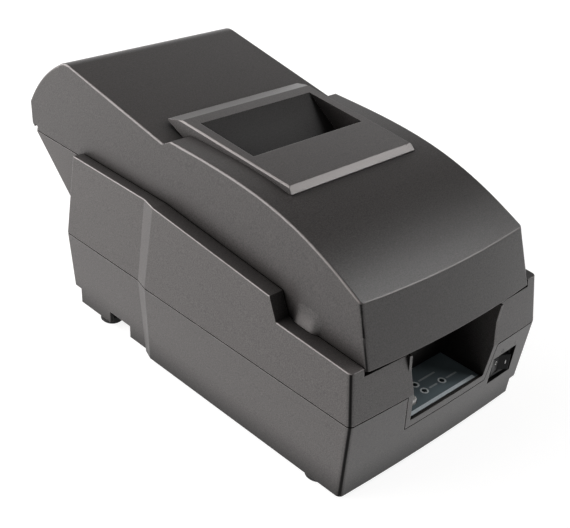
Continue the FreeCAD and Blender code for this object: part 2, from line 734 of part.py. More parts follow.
def top_cover():
    outer = rounded_cover_edges(cover_block())
    knuckle_room = rod_x(*HINGE_YZ, HINGE_RADIUS + 0.7, CASE_KNUCKLE[0] - 0.5, COVER_KNUCKLE[1] + 0.4)
    shell = cut(outer, cover_room(), *both_sides(knuckle_room))
    exit_hole = box(-EXIT_HALF - CHEEK - 0.2, EXIT_HALF + CHEEK + 0.2, EXIT_STATIONS[0] - CHEEK - 0.2,
                    COVER_CROWN[-1][0] - 3.0, 100, TOP_OUT)
    ribs = [cover_rib(x) for x in (-52.0, 0.0, 52.0)]
    shell = fuse(shell, *both_sides(finger_grip()), *both_sides(cover_knuckle()), *ribs)
    pin_hole = rod_x(*HINGE_YZ, HINGE_PIN_RADIUS + RUNNING_GAP, -BIG / 2, BIG / 2)
    return cut(shell, exit_hole, pin_hole)


def cover_rib(x):
    """Stiffening rib under the raked rear panel."""
    depth = 4.0
    start = (COVER_VALLEY[0] + 4, COVER_VALLEY[1] - 1.5)
    end = (COVER_RIDGE[0][0] - 4, COVER_RIDGE[0][1] - 1.8)
    return prism_x([start, end, (end[0], end[1] - depth), (start[0], start[1] - depth)], x - 0.8, x + 0.8)


def rounded_cover_edges(block):
    """Round the front top edge and the long edges where the sides meet the top."""
    edges = []
    for edge in block.Edges:
        bounds = edge.BoundBox
        at_front_top = abs(bounds.Center.z - COVER_FRONT_TOP[1]) < 2.5 and bounds.YMax < 30
        front_top = bounds.XLength > 100 and at_front_top
        side_top = bounds.XLength < 6 and bounds.YLength > 20 and bounds.ZMin > COVER_FRONT_TOP[1] - 4
        if front_top or side_top:
            edges.append(edge)
    return block.makeFillet(1.2, edges)


# Paper exit

def bezel_plan():
    """Tapered block that bounds the bezel: wider to the rear and at its foot."""
    outlines = []
    for height, front_half, rear_half in ((116.0, 52.4, 55.4), (144.0, 47.1, 50.1)):
        points = [V(-front_half, 80, height), V(front_half, 80, height),
                  V(rear_half, 181, height), V(-rear_half, 181, height)]
        outlines.append(polygon(points))
    return Part.makeLoft(outlines, True, True)


def paper_exit_bezel():
    buried_front = (BEZEL_FRONT_FOOT[0], BEZEL_FRONT_FOOT[1] - 6)
    buried_rear = (BEZEL_LIP_ROOT[0] - 8, BEZEL_LIP_ROOT[1] - 6)
    under_tip = (BEZEL_REAR_TIP[0] - 0.7, BEZEL_REAR_TIP[1] - 1.0)
    frame = prism_x([buried_front, BEZEL_FRONT_FOOT, BEZEL_FRONT_TOP, BEZEL_REAR_TOP, BEZEL_REAR_TIP,
                     under_tip, BEZEL_LIP_ROOT, buried_rear], -BIG, BIG)
    frame = chamfered_sides(frame.common(bezel_plan())).cut(cover_block())
    front, rear = EXIT_STATIONS
    top_front = on_line(BEZEL_FRONT_TOP, BEZEL_REAR_TOP, front)
    top_rear = on_line(BEZEL_FRONT_TOP, BEZEL_REAR_TOP, rear)
    above = TOP_OUT
    well = prism_x([(front, above), (front, CHUTE_FOOT), RAMP_FOOT, (rear, top_rear - 0.3), (rear, above)],
                   -EXIT_HALF, EXIT_HALF)
    chute_front = front - CHEEK
    chute_rear = COVER_CROWN[-1][0] - 3.4
    under_ramp = (RAMP_FOOT[0], RAMP_FOOT[1] - 2.2)
    chute_half = EXIT_HALF + CHEEK
    chute = prism_x([(chute_front, top_front - 1), (chute_front, CHUTE_FOOT), under_ramp,
                     (chute_rear, top_rear - 4.2), (chute_rear, top_rear - 1)], -chute_half, chute_half)
    slot = box(-EXIT_HALF, EXIT_HALF, front, RAMP_FOOT[0] - 0.6, 110, BIG)
    return cut(fuse(frame, chute), well, slot)


def chamfered_sides(frame):
    """Break the two long edges where the top of the bezel meets its sides."""
    length = BEZEL_REAR_TOP[0] - BEZEL_FRONT_TOP[0] - 2
    edges = []
    for edge in frame.Edges:
        bounds = edge.BoundBox
        if bounds.YLength > length and bounds.ZMin > BEZEL_FRONT_FOOT[1]:
            edges.append(edge)
    return frame.makeChamfer(BEZEL_CHAMFER, edges)


def tear_bar():
    """Toothed steel strip under the front edge of the exit, one tooth per pitch."""
    pitch = 2.0
    count = int(2 * EXIT_HALF / pitch) - 1
    half = count * pitch / 2
    edge = EXIT_STATIONS[0]
    points = [(-half, edge), (-half, edge + 0.5)]
    for tooth in range(count):
        points.append((-half + (tooth + 0.5) * pitch, edge + 1.4))
        points.append((-half + (tooth + 1) * pitch, edge + 0.5))
    points.append((half, edge))
    return prism_z(points, 133.6, 134.4)


# Operator panel

def panel_plate_outline(spread):
    half = half_at(RECESS_BOTTOM, RECESS_TOP, PANEL_LEDGE) - 0.25 + spread
    front = 1.4 - spread
    rear = RECESS_DEPTH - 0.2
    left = RECESS_X - half
    right = RECESS_X + half
    return [(left, front), (right, front), (right, rear), (left, rear)]


def panel_holes(button_radius, led_radius):
    holes = [rod_z(*BUTTON_XY, button_radius, 0, 60)]
    holes += [rod_z(x, y, led_radius, 0, 60) for x, y in LED_XY]
    return holes


def control_panel():
    plate = prism_z(panel_plate_outline(0.0), PANEL_LEDGE, PANEL_TOP)
    skirt = rod_z(*BUTTON_XY, BUTTON_RADIUS + 1.6, PANEL_LEDGE - 1.0, PANEL_TOP - 0.5)
    return cut(fuse(plate, skirt), *panel_holes(BUTTON_RADIUS + 0.3, LED_RADIUS))


def panel_overlay():
    film = prism_z(panel_plate_outline(-0.2), PANEL_TOP, PANEL_TOP + OVERLAY_THICKNESS)
    return cut(film, *panel_holes(BUTTON_RADIUS + 0.5, LED_RADIUS + 0.1))


def led_lenses():
    lenses = []
    for x, y in LED_XY:
        stem = rod_z(x, y, LED_RADIUS, PANEL_LEDGE - 1.2, PANEL_TOP + 0.1)
        crown = Part.makeCone(LED_RADIUS, LED_RADIUS * 0.6, 0.4, V(x, y, PANEL_TOP + 0.1))
        lenses.append(fuse(stem, crown))
    return group(lenses)


def feed_button():
    """Round cap with a bevelled rim, and a retaining collar under the panel."""
    x, y = BUTTON_XY
    top = PANEL_TOP + 2.0
    bevel = 0.6
    cap = fuse(rod_z(x, y, BUTTON_RADIUS, 24.4, top - bevel),
               Part.makeCone(BUTTON_RADIUS, BUTTON_RADIUS - bevel, bevel, V(x, y, top - bevel)))
    collar = rod_z(x, y, BUTTON_RADIUS + 1.0, 24.2, PANEL_LEDGE - 1.4)
    stem = rod_z(x, y, 2.0, 23.9, 25)
    return fuse(cap, collar, stem)


def panel_board():
    bottom = PANEL_BOARD_TOP - BOARD_THICKNESS
    board = box(-27, 27, 5.5, 26.5, bottom, PANEL_BOARD_TOP)
    ears = box(-31.2, 31.2, 13, 19, bottom, PANEL_BOARD_TOP)
    post = rod_z(29.0, 16, 2.2, PANEL_BOARD_TOP - 0.2, SURROUND_FOOT[0])
    return at_recess(fuse(board, ears, *both_sides(post)))


def status_leds():
    leds = []
    for x, y in LED_XY:
        shoulder = PANEL_LEDGE - 2.9
        body = rod_z(x, y, LED_RADIUS, PANEL_BOARD_TOP, shoulder)
        tip = Part.makeCone(LED_RADIUS, LED_RADIUS * 0.5, LED_RADIUS, V(x, y, shoulder))
        leds.append(fuse(body, tip))
    return group(leds)


def feed_switch():
    x, y = BUTTON_XY
    body = box(x - 3, x + 3, y - 3, y + 3, PANEL_BOARD_TOP, PANEL_BOARD_TOP + 2.4)
    return fuse(body, rod_z(x, y, 1.7, PANEL_BOARD_TOP, PANEL_BOARD_TOP + 3.1))


def panel_cable():
    """Flat cable from the panel board back and down to the main board."""
    start = PANEL_BOARD_TOP - BOARD_THICKNESS
    run = start - 6.5
    end = BOARD_BOTTOM + BOARD_THICKNESS
    under = [(20, start), (20, start - 4), (24, run), (52, run), (57, start - 4), (58, end + 4),
             (62.5, end + 5.5), (66, end + 3), (66, end)]
    over = [(66.6, end), (66.6, end + 3.3), (62.8, end + 6.1), (57.5, end + 4.5), (56.4, start - 3.6),
            (51.8, run + 0.6), (24.2, run + 0.6), (20.6, start - 3.7), (20.6, start)]
    return prism_x(under + over, -9, 9)


def power_switch_housing():
    flange = switch_block(SWITCH_FLANGE, SWITCH_FACE - 1.8, SWITCH_FACE)
    body = switch_block(SWITCH_BODY, SWITCH_FACE - 0.5, 18)
    well = switch_block(SWITCH_BODY, -5, 13.5, -0.9)
    x, z = SWITCH_XZ
    blades = [box(x + dx - 2.4, x + dx + 2.4, 17.5, 26, z - 0.4, z + 0.4) for dx in (-6.0, 0.0, 6.0)]
    low = z - SWITCH_BODY[1] / 2 + 0.5
    high = z + SWITCH_BODY[1] / 2 - 3.0
    pivots = [rod_z(x, SWITCH_PIVOT, PIVOT_RADIUS, end, end + 2.5) for end in (low, high)]
    return fuse(cut(fuse(flange, body), well), *blades, *pivots)


def power_rocker():
    """Rocker with two angled halves, drawn tipped to its off side."""
    x, z = SWITCH_XZ
    half_height = SWITCH_BODY[1] / 2 - 1.3
    half = SWITCH_BODY[0] / 2 - 2.3
    crest = SWITCH_PIVOT - 4.8
    edge = SWITCH_PIVOT - 7.2
    waist = SWITCH_PIVOT + 0.5
    heel = SWITCH_PIVOT + 3.2
    points = [(-half, edge), (0, crest), (half, edge), (half - 0.4, waist), (2.6, heel), (-2.6, heel),
              (-half + 0.4, waist)]
    rocker = prism_z([(x + px, py) for px, py in points], z - half_height, z + half_height)
    rocker = cut(rocker, rod_z(x, SWITCH_PIVOT, PIVOT_RADIUS + RUNNING_GAP, z - 20, z + 20))
    rocker.rotate(V(x, SWITCH_PIVOT, z), V(0, 0, 1), -ROCKER_TILT)
    return rocker


# Electronics and connectors

def main_board():
    start, end = BOARD_STATIONS
    buried = COMPONENT_FLOOR - SOLDERED
    board = box(-BOARD_HALF, BOARD_HALF, start, end, BOARD_BOTTOM, COMPONENT_FLOOR)
    chips = [box(x, x + width, y, y + depth, buried, COMPONENT_FLOOR + CHIP_HEIGHT)
             for x, y, width, depth in CHIPS]
    sockets = [box(x, x + width, y, y + 6, buried, COMPONENT_FLOOR + SOCKET_HEIGHT)
               for x, y, width in SOCKETS]
    holes = [rod_z(x, y, SCREW_PASSAGE, 0, BIG) for x, y in BOARD_POSTS]
    return cut(fuse(board, *heat_sink(buried), *chips, *sockets), *holes)


def heat_sink(bottom):
    front, rear = SINK_STATIONS
    base = box(FIN_PLACES[0], FIN_PLACES[-1] + FIN_THICKNESS, front, rear, bottom, COMPONENT_FLOOR + 2)
    fins = [box(x, x + FIN_THICKNESS, front, rear, COMPONENT_FLOOR, COMPONENT_FLOOR + FIN_HEIGHT)
            for x in FIN_PLACES]
    return [base] + fins


def board_capacitors():
    """Round cans, each with the crimped waist above its foot."""
    bead = COMPONENT_FLOOR + 2.0
    waist_top = bead + 1.0
    cans = []
    for x, y, radius, height in CAPACITORS:
        foot = rod_z(x, y, radius, COMPONENT_FLOOR, bead)
        waist = rod_z(x, y, radius - 0.6, bead, waist_top)
        can = rod_z(x, y, radius, waist_top, COMPONENT_FLOOR + height)
        cans.append(fuse(foot, waist, can))
    return group(cans)


def board_screws():
    return group(cap_screw(x, y, COMPONENT_FLOOR, BOARD_BOTTOM - 4.5) for x, y in BOARD_POSTS)


def d_outline(half_width, half_height, lean):
    """Outline of a D-shaped connector, wide side up."""
    return [(-half_width, half_height), (half_width, half_height),
            (half_width - lean, -half_height), (-half_width + lean, -half_height)]


def placed(points, x, z):
    return [(x + px, z + pz) for px, pz in points]


def interface_plate():
    low, high = WINDOW_HEIGHTS
    half = WINDOW_HALF - PLATE_CLEARANCE
    plate = box(-half, half, PLATE_STATION, CONNECTOR_FACE, low + PLATE_CLEARANCE, high - PLATE_CLEARANCE)
    front = PLATE_STATION - 10
    rear = PLATE_STATION + 10
    serial = prism_y(placed(d_outline(20.2, 5.0, 1.6), SERIAL_X, SERIAL_HEIGHT), front, rear)
    jack = socket_block(JACK_X, JACK_SIZE, CONNECTOR_CLEARANCE, front, rear)
    inlet = socket_block(INLET_X, INLET_SIZE, CONNECTOR_CLEARANCE, front, rear)
    screws = both_sides(rod_y(PLATE_SCREW_X, PLATE_MIDDLE, SCREW_RADIUS + 0.3, front, rear))
    return cut(plate, serial, jack, inlet, *screws)


def plate_screws():
    head = rod_y(PLATE_SCREW_X, PLATE_MIDDLE, 2.0, CONNECTOR_FACE, CONNECTOR_FACE + 1.6)
    stem = rod_y(PLATE_SCREW_X, PLATE_MIDDLE, SCREW_RADIUS, PLATE_STATION - 5, CONNECTOR_FACE + 0.5)
    return group(both_sides(fuse(head, stem)))


def socket_block(x, size, spread, y0, y1):
    width, height = size
    return box(x - width / 2 - spread, x + width / 2 + spread, y0, y1, COMPONENT_FLOOR - spread,
               COMPONENT_FLOOR + height + spread)


def interface_connector():
    """D-shaped socket: flange behind the plate, shell through it, body down to the board."""
    flange = box(SERIAL_X - 26.5, SERIAL_X + 26.5, PLATE_STATION - 1.2, PLATE_STATION, SERIAL_HEIGHT - 6.2,
                 SERIAL_HEIGHT + 6.2)
    face = PLATE_STATION + 5.5
    shell = prism_y(placed(d_outline(19.6, 4.4, 1.5), SERIAL_X, SERIAL_HEIGHT), PLATE_STATION - 1, face)
    body = box(SERIAL_X - 20, SERIAL_X + 20, PLATE_STATION - 10, PLATE_STATION - 1, COMPONENT_FLOOR,
               SERIAL_HEIGHT + 5)
    return fuse(flange, shell, body)


def drawer_jack():
    """Modular jack with its stepped mouth and contact comb."""
    body = socket_block(JACK_X, JACK_SIZE, 0.0, PLATE_STATION - 15, CONNECTOR_FACE + 0.6)
    z = COMPONENT_FLOOR
    mouth = box(JACK_X - 4.9, JACK_X + 4.9, PLATE_STATION - 11, BIG, z + 3.0, z + 9.6)
    key = box(JACK_X - 3.2, JACK_X + 3.2, PLATE_STATION - 11, BIG, z + 1.6, z + 4)
    contacts = []
    for index in range(JACK_CONTACTS):
        x = JACK_X + index - (JACK_CONTACTS - 1) / 2
        contacts.append(box(x - 0.25, x + 0.25, PLATE_STATION - 11.5, PLATE_STATION - 3, z + 8.2, z + 9.9))
    return fuse(cut(body, mouth, key), *contacts)


def dc_inlet():
    """Round power inlet with three pins behind a keyed mouth."""
    body = socket_block(INLET_X, INLET_SIZE, 0.0, PLATE_STATION - 14, CONNECTOR_FACE + 0.6)
    z = COMPONENT_FLOOR + INLET_SIZE[1] / 2
    mouth = rod_y(INLET_X, z, 5.2, PLATE_STATION - 9, BIG / 2 + PLATE_STATION)
    pins = []
    for angle in (90.0, 210.0, 330.0):
        dx = INLET_PIN_CIRCLE * math.cos(math.radians(angle))
        dz = INLET_PIN_CIRCLE * math.sin(math.radians(angle))
        pins.append(rod_y(INLET_X + dx, z + dz, 0.6, PLATE_STATION - 10, PLATE_STATION - 2))
    return fuse(cut(body, mouth), *pins)


# Paper bin and guides

def roll_bin():
    """Half-round trough for the paper roll, hung by two ears on the flange of the upper case."""
    y, z = ROLL_YZ
    end = BIN_HALF + BIN_WALL
    outside = rod_x(y, z, BIN_RADIUS + BIN_WALL, -end, end)
    inside = rod_x(y, z, BIN_RADIUS, -BIN_HALF, BIN_HALF)
    trough = cut(outside, inside, box(-BIG, BIG, -BIG, BIG, z + 4, BIG))
    rest = SHOULDER_REAR[1] - POCKET_DROP
    front, rear = y - 26, y + 14
    ear = box(BIN_HALF, TOP_OPENING_HALF + 2.6, front, rear, rest, rest + BIN_WALL)
    gusset = prism_x([(front, rest + 1), (rear, rest + 1), (rear - 8, rest - 22), (front + 4, rest - 22)],
                     BIN_HALF, end)
    slots = [box(x - 3, x + 3, y - 22, y - 16, z - 50, z - 30) for x in (-24.0, 24.0)]
    return cut(fuse(trough, *both_sides(ear), *both_sides(gusset)), inside, *slots)


def paper_guide():
    """Bent sheet that leads the paper from the bin under the feed roller and up into the nip."""
    t = 1.2
    outer = [(152.0, 88.0), (148.0, 70.0), (140.0, 61.0), (126.0, 59.0), (118.5, 66.5)]
    offsets = [(-t, 0.3), (-t, 0.5), (-0.7, t), (0.5, t), (1.0, 0.8)]
    inner = [(y + dy, z + dz) for (y, z), (dy, dz) in zip(outer, offsets)]
    sheet = prism_x(outer + inner[::-1], -42, 42)
    tabs = [box(x0, x1, 122, 142, 59.6, 61.0) for x0, x1 in ((-PLATE_INSIDE, -41.5), (41.5, PLATE_INSIDE))]
    return fuse(sheet, *tabs)


# Print mechanism

def side_plate_outline():
    front, rear = FRAME_STATIONS
    return [(front, BASE_BOTTOM), (rear, BASE_BOTTOM), (rear, 98), (143, 106), (112, 106), (98, 100),
            (60, 100), (front, 80)]


def mechanism_frame():
    """Folded steel frame: base with a window, two side plates and the ribbon rests."""
    front, rear = FRAME_STATIONS
    outside = PLATE_INSIDE + PLATE_THICKNESS
    base = box(-outside, outside, front, rear, BASE_BOTTOM, BASE_BOTTOM + PLATE_THICKNESS)
    base = cut(base, box(-38, 16, 62, 112, 0, BIG))
    plates = both_sides(prism_x(side_plate_outline(), PLATE_INSIDE, outside))
    rests = both_sides(box(49, PLATE_INSIDE + 0.5, 42, 58, 94.4, 95.6))
    holes = [rod_z(x, y, SCREW_PASSAGE, 0, BASE_BOTTOM + 5) for x, y in FRAME_POSTS]
    holes.append(rod_x(*FEED_YZ, FEED_BUSH_RADIUS, -BIG, BIG))
    holes.append(rod_x(*PINCH_YZ, THIN_SHAFT_RADIUS + RUNNING_GAP, -BIG, BIG))
    holes.append(rod_x(*CARRIAGE_SHAFT_YZ, CARRIAGE_SHAFT_RADIUS, -BIG, BIG))
    holes.append(rod_x(*idler_place(), THIN_SHAFT_RADIUS, -BIG, 0))
    holes.append(rod_x(*pinion_place(), 2 * THIN_SHAFT_RADIUS, -BIG, 0))
    lightening = [rod_x(y, z, radius, -BIG, BIG) for y, z, radius in ((52, 66, 8), (74, 66, 7))]
    return cut(fuse(base, *plates, *rests), *holes, *lightening)


def frame_screws():
    seat = BASE_BOTTOM + PLATE_THICKNESS
    return group(cap_screw(x, y, seat, BASE_BOTTOM - 12) for x, y in FRAME_POSTS)


def platen_bar():
    """Flat bar behind the paper that takes the blows of the print wires."""
    bar = box(-PLATE_INSIDE, PLATE_INSIDE, 130.5, 135.5, 91, 103)
    lead_in = prism_x([(130, 90), (132, 90), (130, 93.5)], -60, 60)
    return cut(bar, lead_in)


def carriage_shaft():
    end = PLATE_INSIDE + PLATE_THICKNESS + 1.2
    shaft = rod_x(*CARRIAGE_SHAFT_YZ, CARRIAGE_SHAFT_RADIUS, -end, end)
    return shaft.makeChamfer(0.4, [edge for edge in shaft.Edges if edge.BoundBox.XLength < 0.1])


def guide_rail():
    front, rear, bottom, top = (GUIDE_RAIL[side] for side in ("front", "rear", "bottom", "top"))
    strip = box(-PLATE_INSIDE, PLATE_INSIDE, front, rear, bottom, top)
    lip = box(-PLATE_INSIDE, PLATE_INSIDE, front, front + 1.5, bottom - 6, top)
    return fuse(strip, lip)


def carriage():
    """Sliding block: bush on the shaft, nose slotted for the rail, belt clamp, saddle for the head."""
    y, z = CARRIAGE_SHAFT_YZ
    half = CARRIAGE_HALF
    bush = rod_x(y, z, 5.0, -half, half)
    deck = box(-half, half, 69, 97, 84.6, 92.4)
    saddle = box(-half, half, 96, 116, 84.6, 88.0)
    cheeks = [box(x0, x1, 97, 112, 87.5, 93) for x0, x1 in ((-half, -half + 1.6), (half - 1.6, half))]
    belt_run = BELT_STATION + BELT_PULLEY_RADIUS
    clamp = box(-4, 4, belt_run - 2.2, belt_run + 2.6, 78.4, 85)
    body = fuse(deck, bush, saddle, *cheeks, clamp)
    gap = 0.35
    slot = box(-BIG, BIG, 60, GUIDE_RAIL["rear"] + 0.6, GUIDE_RAIL["bottom"] - gap, GUIDE_RAIL["top"] + gap)
    belt_slot = box(-BIG, BIG, belt_run - 0.4, belt_run + 1.4, BELT_HEIGHTS[0] - gap, BELT_HEIGHTS[1] + gap)
    bore = rod_x(y, z, CARRIAGE_SHAFT_RADIUS + RUNNING_GAP, -BIG / 2, BIG / 2)
    seat = rod_y(0, HEAD_HEIGHT, HEAD_RADIUS, 97, 130)
    return cut(body, slot, belt_slot, bore, seat)


def print_head():
    """Wire print head: finned round body and a tapered nose that faces the platen."""
    start = 97.0
    body = rod_y(0, HEAD_HEIGHT, HEAD_RADIUS, start, start + 18)
    grooves = []
    for index in range(4):
        y = start + 2.2 + index * 3.0
        grooves.append(cut(rod_y(0, HEAD_HEIGHT, HEAD_RADIUS + 1, y, y + 1.4),
                           rod_y(0, HEAD_HEIGHT, HEAD_RADIUS - 2.2, y - 1, y + 3)))
    top_only = box(-BIG, BIG, -BIG, BIG, HEAD_HEIGHT - 2, BIG)
    grooves = [groove.common(top_only) for groove in grooves]
    neck = Part.makeCone(HEAD_RADIUS - 1.5, 5.0, 6.0, V(0, start + 18, HEAD_HEIGHT), V(0, 1, 0))
    nose = box(-3.0, 3.0, start + 23, start + 28.8, HEAD_HEIGHT - 4.5, HEAD_HEIGHT + 4.5)
    return fuse(cut(body, *grooves), neck, nose)


def pulley(x, bore):
    """Flanged belt pulley with a bore for a vertical shaft."""
    bottom, top = BELT_HEIGHTS
    y = BELT_STATION
    drum = rod_z(x, y, BELT_PULLEY_RADIUS - 0.05, bottom - 0.5, top + 0.5)
    flange_radius = BELT_PULLEY_RADIUS + 1.4
    lower_flange = rod_z(x, y, flange_radius, PULLEY_FOOT, bottom - 0.4)
    upper_flange = rod_z(x, y, flange_radius, top + 0.4, top + 1.0)
    return cut(fuse(drum, lower_flange, upper_flange), rod_z(x, y, bore, 0, BIG))


def carriage_motor():
    """Round stepper motor standing on the frame, shaft upwards."""
    bottom = BASE_BOTTOM + PLATE_THICKNESS
    body = rod_z(BELT_PULLEY_X, BELT_STATION, MOTOR_RADIUS, bottom + 1.0, MOTOR_TOP)
    bead = cut(rod_z(BELT_PULLEY_X, BELT_STATION, MOTOR_RADIUS + 1, 63, 64.2),
               rod_z(BELT_PULLEY_X, BELT_STATION, MOTOR_RADIUS - 0.7, 60, 70))
    x, y = BELT_PULLEY_X, BELT_STATION
    ears = box(x - 4, x + 4, y - 17, y + 17, bottom, bottom + 1.5)
    hole = rod_z(BELT_PULLEY_X, BELT_STATION, THIN_SHAFT_RADIUS + RUNNING_GAP, MOTOR_TOP - 9, BIG)
    return cut(fuse(cut(body, bead), ears), hole)


def drive_pulley():
    """Drive pulley with the motor's shaft, which turn as one."""
    wheel = pulley(BELT_PULLEY_X, THIN_SHAFT_RADIUS - 0.5)
    shaft = rod_z(BELT_PULLEY_X, BELT_STATION, THIN_SHAFT_RADIUS, MOTOR_TOP - 8, PULLEY_SHAFT_TOP)
    return fuse(wheel, shaft)


def idler_pulley():
    return pulley(-BELT_PULLEY_X, THIN_SHAFT_RADIUS + RUNNING_GAP)


def idler_stud():
    """Stepped stud on a bracket from the frame base."""
    bottom = BASE_BOTTOM + PLATE_THICKNESS
    shoulder = PULLEY_FOOT - 0.4
    post = rod_z(-BELT_PULLEY_X, BELT_STATION, 3.5, bottom, shoulder)
    pin = rod_z(-BELT_PULLEY_X, BELT_STATION, THIN_SHAFT_RADIUS, shoulder - 0.5, PULLEY_SHAFT_TOP)
    foot = rod_z(-BELT_PULLEY_X, BELT_STATION, 6.0, bottom, bottom + 2)
    return fuse(post, pin, foot)


def belt_loop(radius):
    """Plan outline of a belt round both pulleys."""
    left = -BELT_PULLEY_X
    right = BELT_PULLEY_X
    y = BELT_STATION
    z = BELT_HEIGHTS[0]
    edges = [Part.LineSegment(V(left, y - radius, z), V(right, y - radius, z)).toShape(),
             Part.Arc(V(right, y - radius, z), V(right + radius, y, z), V(right, y + radius, z)).toShape(),
             Part.LineSegment(V(right, y + radius, z), V(left, y + radius, z)).toShape(),
             Part.Arc(V(left, y + radius, z), V(left - radius, y, z), V(left, y - radius, z)).toShape()]
    return Part.Face(Part.Wire(edges)).extrude(V(0, 0, BELT_HEIGHTS[1] - z))


def timing_belt():
    return cut(belt_loop(BELT_PULLEY_RADIUS + BELT_THICKNESS), belt_loop(BELT_PULLEY_RADIUS + 0.05))


# Paper feed

def gear_place(start, distance, direction):
    angle = math.radians(direction)
    return (start[0] + distance * math.cos(angle), start[1] + distance * math.sin(angle))


def mesh_distance(teeth_a, teeth_b):
    return GEAR_MODULE * (teeth_a + teeth_b) / 2 + 0.04


def idler_place():
    return gear_place(FEED_YZ, mesh_distance(FEED_TEETH, IDLER_TEETH), IDLER_DIRECTION)


def pinion_place():
    return gear_place(idler_place(), mesh_distance(IDLER_TEETH, PINION_TEETH), PINION_DIRECTION)


def gear(place, teeth, phase, x0, x1):
    """Involute spur gear about the X direction, with one tooth centred at the phase angle."""
    pressure = math.radians(20)
    pitch_radius = GEAR_MODULE * teeth / 2
    base_radius = pitch_radius * math.cos(pressure)
    tip_radius = pitch_radius + 0.9 * GEAR_MODULE
    root_radius = pitch_radius - 1.2 * GEAR_MODULE
    half_tooth = math.pi / (2 * teeth) - GEAR_BACKLASH / (2 * pitch_radius)
    flank = []
    for radius in (base_radius, (base_radius + tip_radius) / 2, tip_radius):
        radius = max(radius, base_radius)
        roll = math.acos(base_radius / radius)
        flank.append((radius, half_tooth + involute(pressure) - involute(roll)))
    flank.insert(0, (min(root_radius, base_radius - 0.05), flank[0][1] + 0.01))
    points = []
    for tooth in range(teeth):
        middle = math.radians(phase) + 2 * math.pi * tooth / teeth
        side = [(radius, middle - angle) for radius, angle in flank]
        side += [(radius, middle + angle) for radius, angle in reversed(flank)]
        points += [(place[0] + r * math.cos(a), place[1] + r * math.sin(a)) for r, a in side]
    return prism_x(points, x0, x1)


def involute(angle):
    return math.tan(angle) - angle


def idler_phase():
    return IDLER_DIRECTION + 180 + 180.0 / IDLER_TEETH


def pinion_phase():
    """Phase that puts a gap of the pinion on the idler's nearest tooth."""
    pitch = 360.0 / IDLER_TEETH
    offset = (idler_phase() - PINION_DIRECTION + pitch / 2) % pitch - pitch / 2
    return PINION_DIRECTION + 180 - offset * IDLER_TEETH / PINION_TEETH + 180.0 / PINION_TEETH


def feed_gear():
    wheel = gear(FEED_YZ, FEED_TEETH, IDLER_DIRECTION, *GEAR_X)
    windows = []
    for index in range(5):
        place = gear_place(FEED_YZ, 7.6, 72.0 * index)
        windows.append(rod_x(*place, 2.3, -BIG, 0))
    return cut(wheel, rod_x(*FEED_YZ, FEED_SHAFT_RADIUS, -BIG, 0), *windows)


def idler_gear():
    wheel = gear(idler_place(), IDLER_TEETH, idler_phase(), *GEAR_X)
    return cut(wheel, rod_x(*idler_place(), THIN_SHAFT_RADIUS + RUNNING_GAP, -BIG, 0))


def motor_pinion():
    place = pinion_place()
    wheel = gear(place, PINION_TEETH, pinion_phase(), *GEAR_X)
    return fuse(wheel, rod_x(*place, THIN_SHAFT_RADIUS, GEAR_X[1] - 0.5, FEED_MOTOR_X[0] + 5.0))


def gear_stud():
    stem = rod_x(*idler_place(), THIN_SHAFT_RADIUS, GEAR_X[0] - 0.8, -PLATE_INSIDE)
    return fuse(stem, rod_x(*idler_place(), 2.6, GEAR_X[0] - 1.4, GEAR_X[0] - 0.2))


def feed_motor():
    """Round stepper motor inside the left side plate, shaft outwards."""
    y, z = pinion_place()
    start, end = FEED_MOTOR_X
    body = rod_x(y, z, FEED_MOTOR_RADIUS, start, end)
    ears = box(start - 0.2, start + 1.0, y - 17.5, y + 17.5, z - 3.5, z + 3.5)
    hole = rod_x(y, z, THIN_SHAFT_RADIUS + 0.3, start - 5, start + 6)
    return cut(fuse(body, ears), hole)


def feed_roller():
    """Shaft with three rubber-covered drums that pull the paper."""
    shaft = rod_x(*FEED_YZ, FEED_SHAFT_RADIUS, GEAR_X[0] - 0.8, PLATE_INSIDE + 3.5)
    drums = [rod_x(*FEED_YZ, FEED_RADIUS, x - 9, x + 9) for x in DRUM_PLACES]
    return fuse(shaft, *drums)


def roller_bushes():
    sleeve = rod_x(*FEED_YZ, FEED_BUSH_RADIUS, PLATE_INSIDE, PLATE_INSIDE + 2.4)
    rim = rod_x(*FEED_YZ, FEED_BUSH_RADIUS + 1.4, PLATE_INSIDE - 1.2, PLATE_INSIDE)
    bush = cut(fuse(sleeve, rim), rod_x(*FEED_YZ, FEED_SHAFT_RADIUS + RUNNING_GAP, 0, BIG))
    return group(both_sides(bush))


def pinch_rollers():
    end = PLATE_INSIDE + 2.6
    shaft = rod_x(*PINCH_YZ, THIN_SHAFT_RADIUS, -end, end)
    drums = [rod_x(*PINCH_YZ, PINCH_RADIUS, x - 7, x + 7) for x in DRUM_PLACES]
    return fuse(shaft, *drums)


# Ribbon

def ribbon_cassette():
    """Flat box with two arms that reach round the head and hold the ribbon at the platen."""
    low, high = RIBBON_HEIGHTS
    right = [(44, 32.5), (55, 40), (55, 118), (51, 126), (47, 126), (47, 84), (38, 72)]
    left = [(-x, y) for x, y in reversed(right)]
    body = prism_z(right + left, low, high)
    groove = cut(lid_block(0.4, high - 1.0, high + 1), lid_block(0.0, high - 2, high + 2))
    slits = both_sides(box(48.8, 49.8, 118, 130, 97.5, 105.5))
    knob_hole = rod_z(*KNOB_XY, KNOB_STEM_RADIUS + RUNNING_GAP, 0, BIG)
    room = rod_z(*KNOB_XY, 8.4, high - 0.6, high + 5)
    return cut(fuse(body, lid_block(0.0, high - 1, high + 0.6)), groove, knob_hole, room, *slits)


def lid_block(spread, z0, z1):
    """The cassette's welded lid, with bevelled front corners."""
    right = [(42.8, 35.4 - spread), (51.6 + spread, 41.2), (51.6 + spread, 68.6 + spread)]
    left = [(-x, y) for x, y in reversed(right)]
    return prism_z(right + left, z0, z1)


